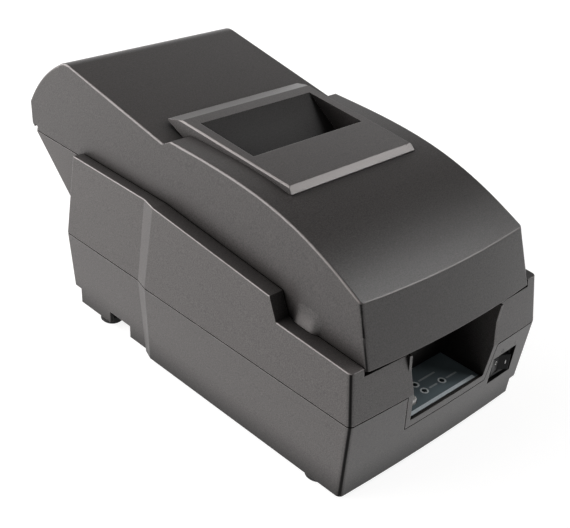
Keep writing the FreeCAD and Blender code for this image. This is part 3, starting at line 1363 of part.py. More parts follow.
def ink_ribbon():
    low, high = 98.0, 105.0
    across = box(-49.5, 49.5, 126.4, 126.8, low, high)
    return fuse(across, *both_sides(box(49.1, 49.5, 118, 126.6, low, high)))


def ribbon_knob():
    """Knurled knob that tightens the ribbon, with its drive stem."""
    low, high = RIBBON_HEIGHTS
    count = 18
    points = []
    for index in range(2 * count):
        radius = 7.6 if index % 2 else 7.0
        angle = math.pi * index / count
        points.append((KNOB_XY[0] + radius * math.cos(angle), KNOB_XY[1] + radius * math.sin(angle)))
    cap = prism_z(points, high - 0.2, high + 3.2)
    grip = box(KNOB_XY[0] - 6, KNOB_XY[0] + 6, KNOB_XY[1] - 1.0, KNOB_XY[1] + 1.0, high + 3.0, high + 5.0)
    return fuse(cap, grip, rod_z(*KNOB_XY, KNOB_STEM_RADIUS, low - 3, high))


# Output

NODES = (
    lower_case, upper_case, top_cover, paper_exit_bezel, tear_bar, hinge_pins, rubber_feet, case_screws,
    control_panel, panel_overlay, led_lenses, feed_button, panel_board, status_leds, feed_switch,
    panel_cable, power_switch_housing, power_rocker, main_board, board_capacitors, board_screws,
    interface_plate, interface_connector, drawer_jack, dc_inlet, plate_screws,
    roll_bin, paper_guide, mechanism_frame, frame_screws, platen_bar, carriage_shaft, guide_rail,
    carriage, print_head, carriage_motor, drive_pulley, idler_pulley, idler_stud, timing_belt,
    feed_roller, feed_gear, roller_bushes, pinch_rollers, idler_gear, gear_stud, feed_motor, motor_pinion,
    ribbon_cassette, ink_ribbon, ribbon_knob)


def write(make):
    shape = make()
    shape.translate(V(0, -MIDDLE_STATION, FOOT_HEIGHT))
    if not shape.isValid():
        print(make.__name__, "is not valid")
    shape.exportStep("parts/" + make.__name__ + ".step")


os.makedirs("parts", exist_ok=True)
for node in NODES:
    write(node)
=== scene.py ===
import json
import math

import bmesh
import bpy
from mathutils import Matrix, Vector


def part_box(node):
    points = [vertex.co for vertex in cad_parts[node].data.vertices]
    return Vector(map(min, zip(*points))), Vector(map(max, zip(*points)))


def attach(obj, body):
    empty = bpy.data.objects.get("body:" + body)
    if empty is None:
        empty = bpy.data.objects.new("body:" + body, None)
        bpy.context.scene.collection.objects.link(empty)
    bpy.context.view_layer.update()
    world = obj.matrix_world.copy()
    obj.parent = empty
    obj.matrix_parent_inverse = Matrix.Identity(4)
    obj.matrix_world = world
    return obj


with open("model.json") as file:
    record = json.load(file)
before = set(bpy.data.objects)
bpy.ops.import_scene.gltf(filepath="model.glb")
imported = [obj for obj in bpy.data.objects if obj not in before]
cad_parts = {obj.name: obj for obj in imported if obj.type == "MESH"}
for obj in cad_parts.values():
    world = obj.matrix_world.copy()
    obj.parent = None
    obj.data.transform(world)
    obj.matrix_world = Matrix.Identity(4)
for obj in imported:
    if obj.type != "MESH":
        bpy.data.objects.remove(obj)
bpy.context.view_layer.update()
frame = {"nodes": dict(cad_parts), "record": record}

# Places on the part, given in millimetres

MM = 0.001
MIDDLE_STATION = 144.1
FOOT_HEIGHT = 3.0


def place(x, station, height):
    """Point in the shared frame, in metres.

    Stations run back from the front corner of the seam, and heights up from the underside of the case.
    """
    return Vector((x, station - MIDDLE_STATION, height + FOOT_HEIGHT)) * MM


# Camera, solved from the straight edges of the case in the photograph

CAMERA_AT = (-415.659, -249.224, 378.805)
CAMERA_AZIMUTH = math.radians(-47.934)
CAMERA_ELEVATION = math.radians(30.237)
CAMERA_ROLL = math.radians(6.251)
CAMERA_LENS = 68.67
SENSOR_WIDTH = 36
NEAREST_SEEN = 0.01


def add_camera():
    back = Vector((math.sin(CAMERA_AZIMUTH) * math.cos(CAMERA_ELEVATION),
                   -math.cos(CAMERA_AZIMUTH) * math.cos(CAMERA_ELEVATION),
                   math.sin(CAMERA_ELEVATION)))
    level = Vector((math.cos(CAMERA_AZIMUTH), math.sin(CAMERA_AZIMUTH), 0))
    upright = back.cross(level)
    right = math.cos(CAMERA_ROLL) * level + math.sin(CAMERA_ROLL) * upright
    up = math.cos(CAMERA_ROLL) * upright - math.sin(CAMERA_ROLL) * level
    turn = Matrix((right, up, back)).transposed()
    data = bpy.data.cameras.new("camera")
    data.lens = CAMERA_LENS
    data.sensor_width = SENSOR_WIDTH
    data.sensor_fit = "HORIZONTAL"
    data.clip_start = NEAREST_SEEN
    camera = bpy.data.objects.new("camera", data)
    bpy.context.scene.collection.objects.link(camera)
    camera.matrix_world = Matrix.Translation(place(*CAMERA_AT)) @ turn.to_4x4()
    bpy.context.scene.camera = camera


# Shader nodes

FULL_RANGE = (0.0, 1.0)
NOISE_RANGE = (0.3, 0.7)


def calculate(tree, operation, *values):
    """Apply one operation to values that come from nodes or are given as numbers."""
    node = tree.nodes.new("ShaderNodeMath")
    node.operation = operation
    for socket, value in zip(node.inputs, values):
        if isinstance(value, float):
            socket.default_value = value
        else:
            tree.links.new(value, socket)
    return node.outputs[0]


def spread(tree, value, low, high, ends=NOISE_RANGE):
    """Map a value that runs between two ends onto the range from low to high, and hold it there."""
    node = tree.nodes.new("ShaderNodeMapRange")
    node.inputs["From Min"].default_value = ends[0]
    node.inputs["From Max"].default_value = ends[1]
    node.inputs["To Min"].default_value = low
    node.inputs["To Max"].default_value = high
    tree.links.new(value, node.inputs["Value"])
    return node.outputs["Result"]


def noise(tree, scale, detail, stretch=None):
    """Cloudy pattern fixed to the piece, stretched along its axes if asked."""
    coordinates = tree.nodes.new("ShaderNodeTexCoord")
    texture = tree.nodes.new("ShaderNodeTexNoise")
    texture.inputs["Scale"].default_value = scale
    texture.inputs["Detail"].default_value = detail
    source = coordinates.outputs["Object"]
    if stretch:
        mapping = tree.nodes.new("ShaderNodeMapping")
        mapping.inputs["Scale"].default_value = stretch
        tree.links.new(source, mapping.inputs["Vector"])
        source = mapping.outputs["Vector"]
    tree.links.new(source, texture.inputs["Vector"])
    return texture.outputs["Fac"]


def bump(tree, height, depth, normal=None):
    """Fine relief of the given depth, on top of another normal if there is one."""
    node = tree.nodes.new("ShaderNodeBump")
    node.inputs["Distance"].default_value = depth
    tree.links.new(height, node.inputs["Height"])
    if normal:
        tree.links.new(normal, node.inputs["Normal"])
    return node.outputs["Normal"]


def scaled(colour, factor):
    """Darker or lighter tone of a colour."""
    return tuple(min(channel * factor, 1.0) for channel in colour)


def blend_tones(tree, factor, first, second):
    """Mix two colours that come from nodes or are given as numbers."""
    node = tree.nodes.new("ShaderNodeMix")
    node.data_type = "RGBA"
    for socket, colour in (("A", first), ("B", second)):
        if isinstance(colour, tuple):
            node.inputs[socket].default_value = (*colour, 1)
        else:
            tree.links.new(colour, node.inputs[socket])
    tree.links.new(factor, node.inputs["Factor"])
    return node.outputs["Result"]


def mottled(tree, colour, texture, tones):
    """Colour that wavers between two tones of itself, as the texture does."""
    dark, light = (scaled(colour, tone) for tone in tones)
    return blend_tones(tree, spread(tree, texture, 0.0, 1.0), dark, light)


# Light and stage

LIT_POINT = (0, 0, 0.07)
WARM = (1, 0.965, 0.952)
WHITE = (1, 1, 1)


def add_lamp(name, position, size, power, colour=WHITE):
    """Rectangular lamp that looks at the middle of the object."""
    data = bpy.data.lights.new(name, "AREA")
    data.shape = "RECTANGLE"
    data.size, data.size_y = size
    data.energy = power
    data.color = colour
    lamp = bpy.data.objects.new(name, data)
    bpy.context.scene.collection.objects.link(lamp)
    aim = Vector(LIT_POINT) - Vector(position)
    turn = aim.to_track_quat("-Z", "Y").to_matrix()
    lamp.matrix_world = Matrix.Translation(position) @ turn.to_4x4()


def add_lamps():
    add_lamp("key", position=(-1.0, 1.0, 0.8), size=(2.2, 1.5), power=47.5, colour=WARM)
    add_lamp("front_strip", position=(1.1, -0.98, 0.95), size=(0.7, 0.3), power=5.4, colour=WARM)
    add_lamp("crown", position=(1.08, -0.44, 1.3), size=(0.12, 0.6), power=5)
    add_lamp("right_rear", position=(1.5, 1.5, 0.85), size=(2.2, 1.0), power=4.8)
    add_lamp("fill", position=(-1.3, -0.9, 0.5), size=(0.6, 0.6), power=2.5)


SKY = (1, 0.99, 0.98)
HORIZON_GLOW = 1.0
CEILING_GLOW = 0.03
GLOW_ENDS = (0.0, 0.06)


def set_world():
    """Pale surroundings up to a little above the horizon, fading to a dim ceiling."""
    world = bpy.data.worlds.new("studio")
    bpy.context.scene.world = world
    world.use_nodes = True
    tree = world.node_tree
    background = tree.nodes["Background"]
    coordinates = tree.nodes.new("ShaderNodeTexCoord")
    split = tree.nodes.new("ShaderNodeSeparateXYZ")
    tree.links.new(coordinates.outputs["Generated"], split.inputs[0])
    strength = spread(tree, split.outputs["Z"], HORIZON_GLOW, CEILING_GLOW, GLOW_ENDS)
    tree.links.new(strength, background.inputs["Strength"])
    background.inputs["Color"].default_value = (*SKY, 1)


def stage_nodes(thing):
    """Give a stage piece a material with no nodes yet."""
    material = bpy.data.materials.new(thing.name)
    material.use_nodes = True
    material.node_tree.nodes.clear()
    thing.data.materials.append(material)
    return material.node_tree


def matt(tree, grey):
    node = tree.nodes.new("ShaderNodeBsdfDiffuse")
    node.inputs["Color"].default_value = (grey, grey, grey, 1)
    return node.outputs[0]


def glow(tree, strength):
    node = tree.nodes.new("ShaderNodeEmission")
    node.inputs["Strength"].default_value = strength
    return node.outputs[0]


def show(tree, seen, unseen):
    """Show one shader to the eye, also by gloss and glass, and another to rays that only carry light."""
    path = tree.nodes.new("ShaderNodeLightPath")
    shown = path.outputs["Is Camera Ray"]
    for kind in ("Is Glossy Ray", "Is Transmission Ray"):
        shown = calculate(tree, "MAXIMUM", shown, path.outputs[kind])
    mix = tree.nodes.new("ShaderNodeMixShader")
    out = tree.nodes.new("ShaderNodeOutputMaterial")
    tree.links.new(shown, mix.inputs[0])
    tree.links.new(unseen, mix.inputs[1])
    tree.links.new(seen, mix.inputs[2])
    tree.links.new(mix.outputs[0], out.inputs[0])


FLOOR_SIZE = 12
FLOOR_DROP = 0.0003
FLOOR_GREY = 0.75
FLOOR_SHADE = 0.3
FLOOR_GLOW = 0.87


def add_floor():
    """White floor that keeps a soft shadow and lights the object as plain grey would."""
    bpy.ops.mesh.primitive_plane_add(size=FLOOR_SIZE, location=(0, 0, -FLOOR_DROP))
    floor = bpy.context.object
    floor.name = "floor"
    tree = stage_nodes(floor)
    white = tree.nodes.new("ShaderNodeAddShader")
    tree.links.new(matt(tree, FLOOR_SHADE), white.inputs[0])
    tree.links.new(glow(tree, FLOOR_GLOW), white.inputs[1])
    show(tree, seen=white.outputs[0], unseen=matt(tree, FLOOR_GREY))


BACKDROP_SIDES = 96
BACKDROP_RADIUS = 5.8
BACKDROP_HEIGHT = 1.0
BACKDROP_GLOW = 0.95


def add_backdrop():
    """Pale wall far round the object, seen by the eye and in gloss, that lets all other light through."""
    bpy.ops.mesh.primitive_cylinder_add(
        vertices=BACKDROP_SIDES, radius=BACKDROP_RADIUS, depth=BACKDROP_HEIGHT,
        end_fill_type="NOTHING", location=(0, 0, BACKDROP_HEIGHT / 2))
    wall = bpy.context.object
    wall.name = "backdrop"
    tree = stage_nodes(wall)
    clear = tree.nodes.new("ShaderNodeBsdfTransparent")
    show(tree, seen=glow(tree, BACKDROP_GLOW), unseen=clear.outputs[0])


# Rounded edges and edge wear, with painted highlights and painted shade on the surfaces

EDGE_SAMPLES = 4
EDGE_ENDS = (0.75, 0.99)


def round_edges(tree, radius):
    """Normal that looks as if every edge were rounded by the radius."""
    bevel = tree.nodes.new("ShaderNodeBevel")
    bevel.samples = EDGE_SAMPLES
    bevel.inputs["Radius"].default_value = radius
    return bevel.outputs["Normal"]


def edge_wear_and_highlight(tree, rounded):
    """0 on flat faces, rising to 1 where the rounded normal leaves the true one; edges lightened by it
    show wear and a painted highlight.
    """
    geometry = tree.nodes.new("ShaderNodeNewGeometry")
    dot = tree.nodes.new("ShaderNodeVectorMath")
    dot.operation = "DOT_PRODUCT"
    tree.links.new(rounded, dot.inputs[0])
    tree.links.new(geometry.outputs["True Normal"], dot.inputs[1])
    return spread(tree, dot.outputs["Value"], 1.0, 0.0, EDGE_ENDS)


def faces_towards(tree):
    """How far a face looks sideways, forwards and upwards, in the piece's own frame."""
    coordinates = tree.nodes.new("ShaderNodeTexCoord")
    split = tree.nodes.new("ShaderNodeSeparateXYZ")
    tree.links.new(coordinates.outputs["Normal"], split.inputs[0])
    sideways = calculate(tree, "ABSOLUTE", split.outputs["X"])
    forwards = calculate(tree, "MULTIPLY", split.outputs["Y"], -1.0)
    return sideways, forwards, split.outputs["Z"]


# Painted shade: reaches and ends for darkening hollows and gaps, and ends for darkening the upright front
# corners.
SHELTER_SAMPLES = 8
HOLLOW_REACH = 0.07
HOLLOW_ENDS = (0.5, 0.85)
GAP_REACH = 0.03
GAP_ENDS = (0.4, 0.9)
CORNER_ENDS = (0.36, 0.47)


def occlusion_shade(tree, reach, own_faces, ends):
    """Painted shade mask from ambient occlusion: 0 where near faces close in, 1 in the open; either the
    piece's own faces count or all of them.
    """
    node = tree.nodes.new("ShaderNodeAmbientOcclusion")
    node.samples = SHELTER_SAMPLES
    node.only_local = own_faces
    node.inputs["Distance"].default_value = reach
    return spread(tree, node.outputs["AO"], 0.0, 1.0, ends)


def painted_shade_factor(tree, sideways, forwards):
    """Painted shade factor: 1 on open faces, falling to 0 in hollows, gaps and on the upright front
    corners, which are painted darker.
    """
    hollow = occlusion_shade(tree, HOLLOW_REACH, True, HOLLOW_ENDS)
    gap = occlusion_shade(tree, GAP_REACH, False, GAP_ENDS)
    corner = spread(tree, calculate(tree, "MULTIPLY", sideways, forwards), 1.0, 0.0, CORNER_ENDS)
    return calculate(tree, "MULTIPLY", calculate(tree, "MULTIPLY", hollow, gap), corner)


# Ends of the edge masks that smooth the rounded edges and paint a highlight on them.
SIDE_EDGE_ENDS = (0.22, 0.45)
FRONT_EDGE_ENDS = (0.45, 0.49)


def polish_and_highlight(tree, sideways, forwards, upwards):
    """1 on the rounded edges between the top and the sides or the front, 0 on flat faces; these edges are
    smoothed and get a painted highlight.
    """
    side_edge = spread(tree, calculate(tree, "MULTIPLY", sideways, upwards), 0.0, 1.0, SIDE_EDGE_ENDS)
    front_edge = spread(tree, calculate(tree, "MULTIPLY", forwards, upwards), 0.0, 1.0, FRONT_EDGE_ENDS)
    return calculate(tree, "MAXIMUM", side_edge, front_edge)


# Painted shade on forward-leaning slopes.
LEAN_MARGIN = 0.08
SLOPE_SHADE = 0.4


def shaded_slope(tree, forwards, lean):
    """Painted shade: a darker factor on the faces that lean forwards by the given amount, 1 elsewhere."""
    match = calculate(tree, "COMPARE", forwards, lean, LEAN_MARGIN)
    return spread(tree, match, 1.0, SLOPE_SHADE, FULL_RANGE)


# Materials

MATERIALS = {}


def new_material(name):
    """Start the look of that name, and return its nodes and its main shader."""
    material = bpy.data.materials.new(name)
    material.use_nodes = True
    MATERIALS[name] = material
    return material.node_tree, material.node_tree.nodes["Principled BSDF"]


PLASTIC_EDGE = 0.0006
FINE_GRAIN = 0.0006
GRAIN_DEPTH = 0.00004
GRAIN_DETAIL = 2.0
SPECKLE_TONES = (0.6, 1.4)
# Painted highlight: edges are this many times lighter than the plastic.
EDGE_HIGHLIGHT_TONE = 4.2
# Painted shade: colour and gloss in hollows, gaps and on the front corners.
PAINTED_SHADE_TONE = 0.1
SHADED_GLOSS = 0.05
OPEN_GLOSS = 0.5
POLISHED = 0.26


def housing_plastic(name, colour, roughness, grain=FINE_GRAIN, depth=GRAIN_DEPTH, shaded_lean=None):
    """Outer plastic: speckled spark-eroded grain, polished edges with a painted highlight, and painted
    shade in hollows, gaps, on the front corners and on a forward-leaning slope if one is given.
    """
    tree, shader = new_material(name)
    sideways, forwards, upwards = faces_towards(tree)
    unshaded = painted_shade_factor(tree, sideways, forwards)
    # Painted shade on the slope that leans forwards, when a lean is given.
    if shaded_lean:
        unshaded = calculate(tree, "MULTIPLY", unshaded, shaded_slope(tree, forwards, shaded_lean))
    polished_and_highlit = polish_and_highlight(tree, sideways, forwards, upwards)
    texture = noise(tree, 1.0 / grain, GRAIN_DETAIL)
    rounded = round_edges(tree, PLASTIC_EDGE)
    edges = calculate(tree, "MAXIMUM", edge_wear_and_highlight(tree, rounded), polished_and_highlit)
    speckle = mottled(tree, colour, texture, SPECKLE_TONES)
    # Painted highlight on the edges.
    highlit = blend_tones(tree, edges, speckle, scaled(colour, EDGE_HIGHLIGHT_TONE))
    # Painted shade: darker colour and weaker gloss in hollows, gaps and on the front corners.
    tone = blend_tones(tree, unshaded, scaled(colour, PAINTED_SHADE_TONE), highlit)
    gloss = spread(tree, unshaded, SHADED_GLOSS, OPEN_GLOSS, FULL_RANGE)
    tree.links.new(tone, shader.inputs["Base Color"])
    tree.links.new(spread(tree, polished_and_highlit, roughness, POLISHED, FULL_RANGE), shader.inputs["Roughness"])
    tree.links.new(gloss, shader.inputs["Specular IOR Level"])
    tree.links.new(bump(tree, texture, depth, rounded), shader.inputs["Normal"])


MOULDED_TONES = (0.93, 1.07)
# Painted highlight and wear: edges this many times lighter.
MOULDED_EDGE_TONE = 1.55
MOULDED_SHEEN = 0.05


def moulded_plastic(name, colour, roughness, grain=FINE_GRAIN, depth=GRAIN_DEPTH, gloss=OPEN_GLOSS):
    """Plain moulded plastic: mottled tone, fine grain, slightly lighter edges from wear and a painted
    highlight.
    """
    tree, shader = new_material(name)
    mottle = mottled(tree, colour, noise(tree, scale=45.0, detail=4.0), MOULDED_TONES)
    rounded = round_edges(tree, PLASTIC_EDGE)
    # Edges lighter, as wear and a painted highlight.
    tone = blend_tones(tree, edge_wear_and_highlight(tree, rounded), mottle, scaled(colour, MOULDED_EDGE_TONE))
    patches = noise(tree, scale=90.0, detail=3.0)
    sheen = spread(tree, patches, roughness - MOULDED_SHEEN, roughness + MOULDED_SHEEN)
    texture = noise(tree, 1.0 / grain, GRAIN_DETAIL)
    tree.links.new(tone, shader.inputs["Base Color"])
    tree.links.new(sheen, shader.inputs["Roughness"])
    shader.inputs["Specular IOR Level"].default_value = gloss
    tree.links.new(bump(tree, texture, depth, rounded), shader.inputs["Normal"])


METAL_EDGE = 0.0003
METAL_TONES = (0.85, 1.08)
BRUSH_STRETCH = (40.0, 900.0, 900.0)
BRUSH_DEPTH = 0.00001
BRUSH_SMOOTHER = 0.07
BRUSH_ROUGHER = 0.1


def brushed_metal(name, colour, roughness):
    """Metal with fine lines along one direction and a patchy tone."""
    tree, shader = new_material(name)
    lines = noise(tree, scale=1.0, detail=3.0, stretch=BRUSH_STRETCH)
    tone = mottled(tree, colour, noise(tree, scale=70.0, detail=3.0), METAL_TONES)
    sheen = spread(tree, lines, roughness - BRUSH_SMOOTHER, roughness + BRUSH_ROUGHER)
    rounded = round_edges(tree, METAL_EDGE)
    tree.links.new(tone, shader.inputs["Base Color"])
    shader.inputs["Metallic"].default_value = 1.0
    tree.links.new(sheen, shader.inputs["Roughness"])
    tree.links.new(bump(tree, lines, BRUSH_DEPTH, rounded), shader.inputs["Normal"])


DUST_TONES = (1.0, 1.8)
RUBBER_ROUGHNESS = (0.7, 0.9)
RUBBER_GLOSS = 0.25
PORE_DEPTH = 0.00005


def rubber(name, colour):
    """Dull rubber with fine pores and a little dust."""
    tree, shader = new_material(name)
    dust = mottled(tree, colour, noise(tree, scale=160.0, detail=5.0), DUST_TONES)
    sheen = spread(tree, noise(tree, scale=220.0, detail=3.0), *RUBBER_ROUGHNESS)
    pores = noise(tree, scale=1800.0, detail=2.0)
    tree.links.new(dust, shader.inputs["Base Color"])
    tree.links.new(sheen, shader.inputs["Roughness"])
    shader.inputs["Specular IOR Level"].default_value = RUBBER_GLOSS
    tree.links.new(bump(tree, pores, PORE_DEPTH), shader.inputs["Normal"])


BOARD_TOP = 21.6
BOARD_MARGIN = 0.1
BOARD_TONES = {
    "Color1": (0.008, 0.075, 0.03),
    "Color2": (0.01, 0.09, 0.038),
    "Mortar": (0.03, 0.16, 0.06),
}
BOARD_ROUGHNESS = (0.25, 0.4)
CHIP_BLACK = (0.012, 0.012, 0.013)
TRACK_SCALE = 180.0
TRACK_WIDTH = 0.06
TRACK_DEPTH = 0.00003


def circuit_board(name):
    """Green solder mask with a faint pattern of copper tracks, and black parts standing on it."""
    tree, shader = new_material(name)
    coordinates = tree.nodes.new("ShaderNodeTexCoord")
    split = tree.nodes.new("ShaderNodeSeparateXYZ")
    tree.links.new(coordinates.outputs["Object"], split.inputs[0])
    parts_from = (BOARD_TOP + FOOT_HEIGHT + BOARD_MARGIN) * MM
    raised = calculate(tree, "GREATER_THAN", split.outputs["Z"], parts_from)
    bricks = tree.nodes.new("ShaderNodeTexBrick")
    bricks.inputs["Scale"].default_value = TRACK_SCALE
    bricks.inputs["Mortar Size"].default_value = TRACK_WIDTH
    for socket, colour in BOARD_TONES.items():
        bricks.inputs[socket].default_value = (*colour, 1)
    tree.links.new(coordinates.outputs["Object"], bricks.inputs["Vector"])
    tone = blend_tones(tree, raised, bricks.outputs["Color"], CHIP_BLACK)
    sheen = spread(tree, noise(tree, scale=120.0, detail=2.0), *BOARD_ROUGHNESS)
    tree.links.new(tone, shader.inputs["Base Color"])
    tree.links.new(sheen, shader.inputs["Roughness"])
    tree.links.new(bump(tree, bricks.outputs["Fac"], TRACK_DEPTH), shader.inputs["Normal"])


WEAVE_SCALE = 900.0
WEAVE_DISTORTION = 0.4
WEAVE_LIGHT_TONE = 2.0
WEAVE_DEPTH = 0.00005
CLOTH_ROUGHNESS = 0.85


def cloth(name, colour):
    """Inked ribbon with fine threads."""
    tree, shader = new_material(name)
    coordinates = tree.nodes.new("ShaderNodeTexCoord")
    weave = tree.nodes.new("ShaderNodeTexWave")
    weave.inputs["Scale"].default_value = WEAVE_SCALE
    weave.inputs["Distortion"].default_value = WEAVE_DISTORTION
    tree.links.new(coordinates.outputs["Object"], weave.inputs["Vector"])
    threads = weave.outputs["Fac"]
    tone = blend_tones(tree, threads, colour, scaled(colour, WEAVE_LIGHT_TONE))
    tree.links.new(tone, shader.inputs["Base Color"])
    shader.inputs["Roughness"].default_value = CLOTH_ROUGHNESS
    tree.links.new(bump(tree, threads, WEAVE_DEPTH), shader.inputs["Normal"])


INK_TONES = (0.9, 1.05)
INK_ROUGHNESS = (0.39, 0.51)


def printed(name, colour):
    """Screen-printed ink, slightly uneven."""
    tree, shader = new_material(name)
    tone = mottled(tree, colour, noise(tree, scale=900.0, detail=3.0), INK_TONES)
    sheen = spread(tree, noise(tree, scale=300.0, detail=2.0), *INK_ROUGHNESS)
    tree.links.new(tone, shader.inputs["Base Color"])
    tree.links.new(sheen, shader.inputs["Roughness"])


CHARCOAL = (0.069, 0.0645, 0.0635)
COVER_CHARCOAL = scaled(CHARCOAL, 0.74)
BEZEL_CHARCOAL = scaled(CHARCOAL, 0.92)
# The ramp inside the paper exit leans forwards this much and is painted darker as shade.
PAPER_RAMP_LEAN = 0.49


def add_housing_looks():
    housing_plastic("case_plastic", CHARCOAL, roughness=0.37)
    housing_plastic("cover_plastic", COVER_CHARCOAL, roughness=0.34, grain=0.0007, depth=0.00005)
    housing_plastic("bezel_plastic", BEZEL_CHARCOAL, roughness=0.29, shaded_lean=PAPER_RAMP_LEAN)


def add_plastic_looks():
    moulded_plastic("panel_plastic", (0.01, 0.011, 0.013), roughness=0.5, gloss=0.2)
    moulded_plastic("overlay_film", (0.155, 0.2, 0.22), roughness=0.36, grain=0.0003, depth=0.00001)
    moulded_plastic("lens_plastic", (0.02, 0.028, 0.03), roughness=0.2, depth=0.000005)
    moulded_plastic("button_plastic", (0.72, 0.73, 0.72), roughness=0.4, depth=0.00001)
    moulded_plastic("switch_plastic", (0.004, 0.004, 0.005), roughness=0.3, depth=0.000008, gloss=0.1)
    moulded_plastic("capacitor_sleeve", (0.015, 0.016, 0.04), roughness=0.28, depth=0.00001)
    moulded_plastic("socket_plastic", (0.02, 0.02, 0.021), roughness=0.42)
    moulded_plastic("bin_plastic", (0.045, 0.044, 0.044), roughness=0.5)
    moulded_plastic("gear_plastic", (0.74, 0.73, 0.68), roughness=0.42, depth=0.00001)


def add_metal_looks():
    brushed_metal("zinc_steel", (0.56, 0.56, 0.53), roughness=0.38)
    brushed_metal("bright_steel", (0.66, 0.66, 0.67), roughness=0.2)
    brushed_metal("screw_steel", (0.5, 0.5, 0.48), roughness=0.34)
    brushed_metal("motor_steel", (0.4, 0.4, 0.4), roughness=0.42)
    brushed_metal("pinion_brass", (0.72, 0.53, 0.22), roughness=0.28)
    brushed_metal("head_alloy", (0.16, 0.16, 0.17), roughness=0.45)


def add_other_looks():
    rubber("foot_rubber", (0.018, 0.018, 0.018))
    rubber("roller_rubber", (0.022, 0.022, 0.024))
    circuit_board("board_laminate")
    cloth("ribbon_cloth", (0.012, 0.008, 0.02))


def add_ink_looks():
    printed("stripe_ink", (0.82, 0.9, 0.95))
    printed("ring_ink", (0.8, 0.86, 0.88))
    printed("caption_ink", (0.45, 0.5, 0.52))
    printed("mark_ink", (0.012, 0.012, 0.012))
    printed("white_ink", (0.85, 0.85, 0.85))


OTHER_LOOK = {"top_cover": "cover_plastic", "paper_exit_bezel": "bezel_plastic"}


def dress_nodes():
    """Give every CAD node the look of its material slot, or the one that OTHER_LOOK names."""
    slots = {entry["node"]: entry["material_slot"] for entry in frame["record"]["subparts"]}
    for name, node in frame["nodes"].items():
        node.data.materials.clear()
        node.data.materials.append(MATERIALS[OTHER_LOOK.get(name, slots[name])])


# Printed and small pieces

PRINT_LIFT = 0.04
UPWARDS = Vector((0, 0, PRINT_LIFT * MM))
FORWARDS = Vector((0, -PRINT_LIFT * MM, 0))
BACKWARDS = Vector((0, MM, 0))
CIRCLE_POINTS = 40


def add_piece(name, mesh, body, look):
    """Turn a mesh into a piece that moves with a body and takes its finish from a slot."""
    data = bpy.data.meshes.new(name)
    mesh.to_mesh(data)
    mesh.free()
    piece = bpy.data.objects.new(name, data)
    bpy.context.scene.collection.objects.link(piece)
    data.materials.append(MATERIALS[look])
    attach(piece, body)


def thicken(mesh, faces, lift):
    """Turn flat faces into a thin slab by lifting a copy of them."""
    result = bmesh.ops.extrude_face_region(mesh, geom=faces)
    moved = [item for item in result["geom"] if isinstance(item, bmesh.types.BMVert)]
    bmesh.ops.translate(mesh, vec=lift, verts=moved)
    bmesh.ops.recalc_face_normals(mesh, faces=mesh.faces)


def slab(mesh, points, lift):
    """Thin patch through the given points, raised by the lift."""
    thicken(mesh, [mesh.faces.new([mesh.verts.new(point) for point in points])], lift)


def ring(mesh, inner, outer, lift):
    """Thin band between two closed loops of points, raised by the lift."""
    inside, outside = ([mesh.verts.new(point) for point in loop] for loop in (inner, outer))
    faces = []
    for index in range(len(inner)):
        behind = index - 1
        corners = (inside[behind], outside[behind], outside[index], inside[index])
        faces.append(mesh.faces.new(corners))
    thicken(mesh, faces, lift)


def circle(radius, count=CIRCLE_POINTS):
    angles = [2 * math.pi * index / count for index in range(count)]
    return [(radius * math.cos(angle), radius * math.sin(angle)) for angle in angles]


# Print on the operator panel

OVERLAY_TOP = 28.9


def on_panel(points, x=0.0, station=0.0):
    return [place(x + dx, station + dy, OVERLAY_TOP) for dx, dy in points]


STRIPE_X = (-29.2, 29.8)
STRIPE_STATIONS = (1.7, 3.95)
STRIPE_SLANT = 0.4


def add_panel_stripe():
    """Pale stripe along the front edge."""
    left, right = STRIPE_X
    front, rear = STRIPE_STATIONS
    corners = [(left, front), (right, front), (right + STRIPE_SLANT, rear), (left, rear)]
    stripe = bmesh.new()
    slab(stripe, on_panel(corners), UPWARDS)
    add_piece("panel_stripe", stripe, "chassis", "stripe_ink")


LED_PLACES = ((12.1, 11.2), (-3.2, 11.3), (-3.2, 18.0))
LED_RING = (1.55, 2.5)


def add_led_rings():
    """Pale ring round each lamp."""
    rings = bmesh.new()
    for x, station in LED_PLACES:
        inner, outer = (on_panel(circle(radius), x, station) for radius in LED_RING)
        ring(rings, inner, outer, UPWARDS)
    add_piece("led_rings", rings, "chassis", "ring_ink")


BAR_PLACES = ((0.9, 18.8, 14.0), (1.0, 11.2, 6.6), (16.0, 11.2, 9.0))
BAR_WIDTH = 1.1


def add_caption_bars():
    """Grey bars beside the lamps, each with its place and its length."""
    half = BAR_WIDTH / 2
    bars = bmesh.new()
    for x, station, length in BAR_PLACES:
        corners = [(0, -half), (length, -half), (length, half), (0, half)]
        slab(bars, on_panel(corners, x, station), UPWARDS)
    add_piece("caption_bars", bars, "chassis", "caption_ink")


# Marks of the power switch

CASE_MARKS = ((49.6, 39.6), (62.5, 39.6))
ROCKER_MARKS = ((50.1, 29.4), (57.2, 28.2))
MARK_HEIGHT = 2.5
MARK_STROKE = 0.45
AHEAD_OF_CASE = -20


def on_front(node, points, x, height):
    """Points on the front of a node, found by looking back at it from in front."""
    into_node = node.matrix_world.inverted()
    backwards = into_node.to_3x3() @ Vector((0, 1, 0))
    found = []
    for dx, dz in points:
        start = into_node @ place(x + dx, AHEAD_OF_CASE, height + dz)
        hit = node.ray_cast(start, backwards)[1]
        found.append(node.matrix_world @ hit)
    return found


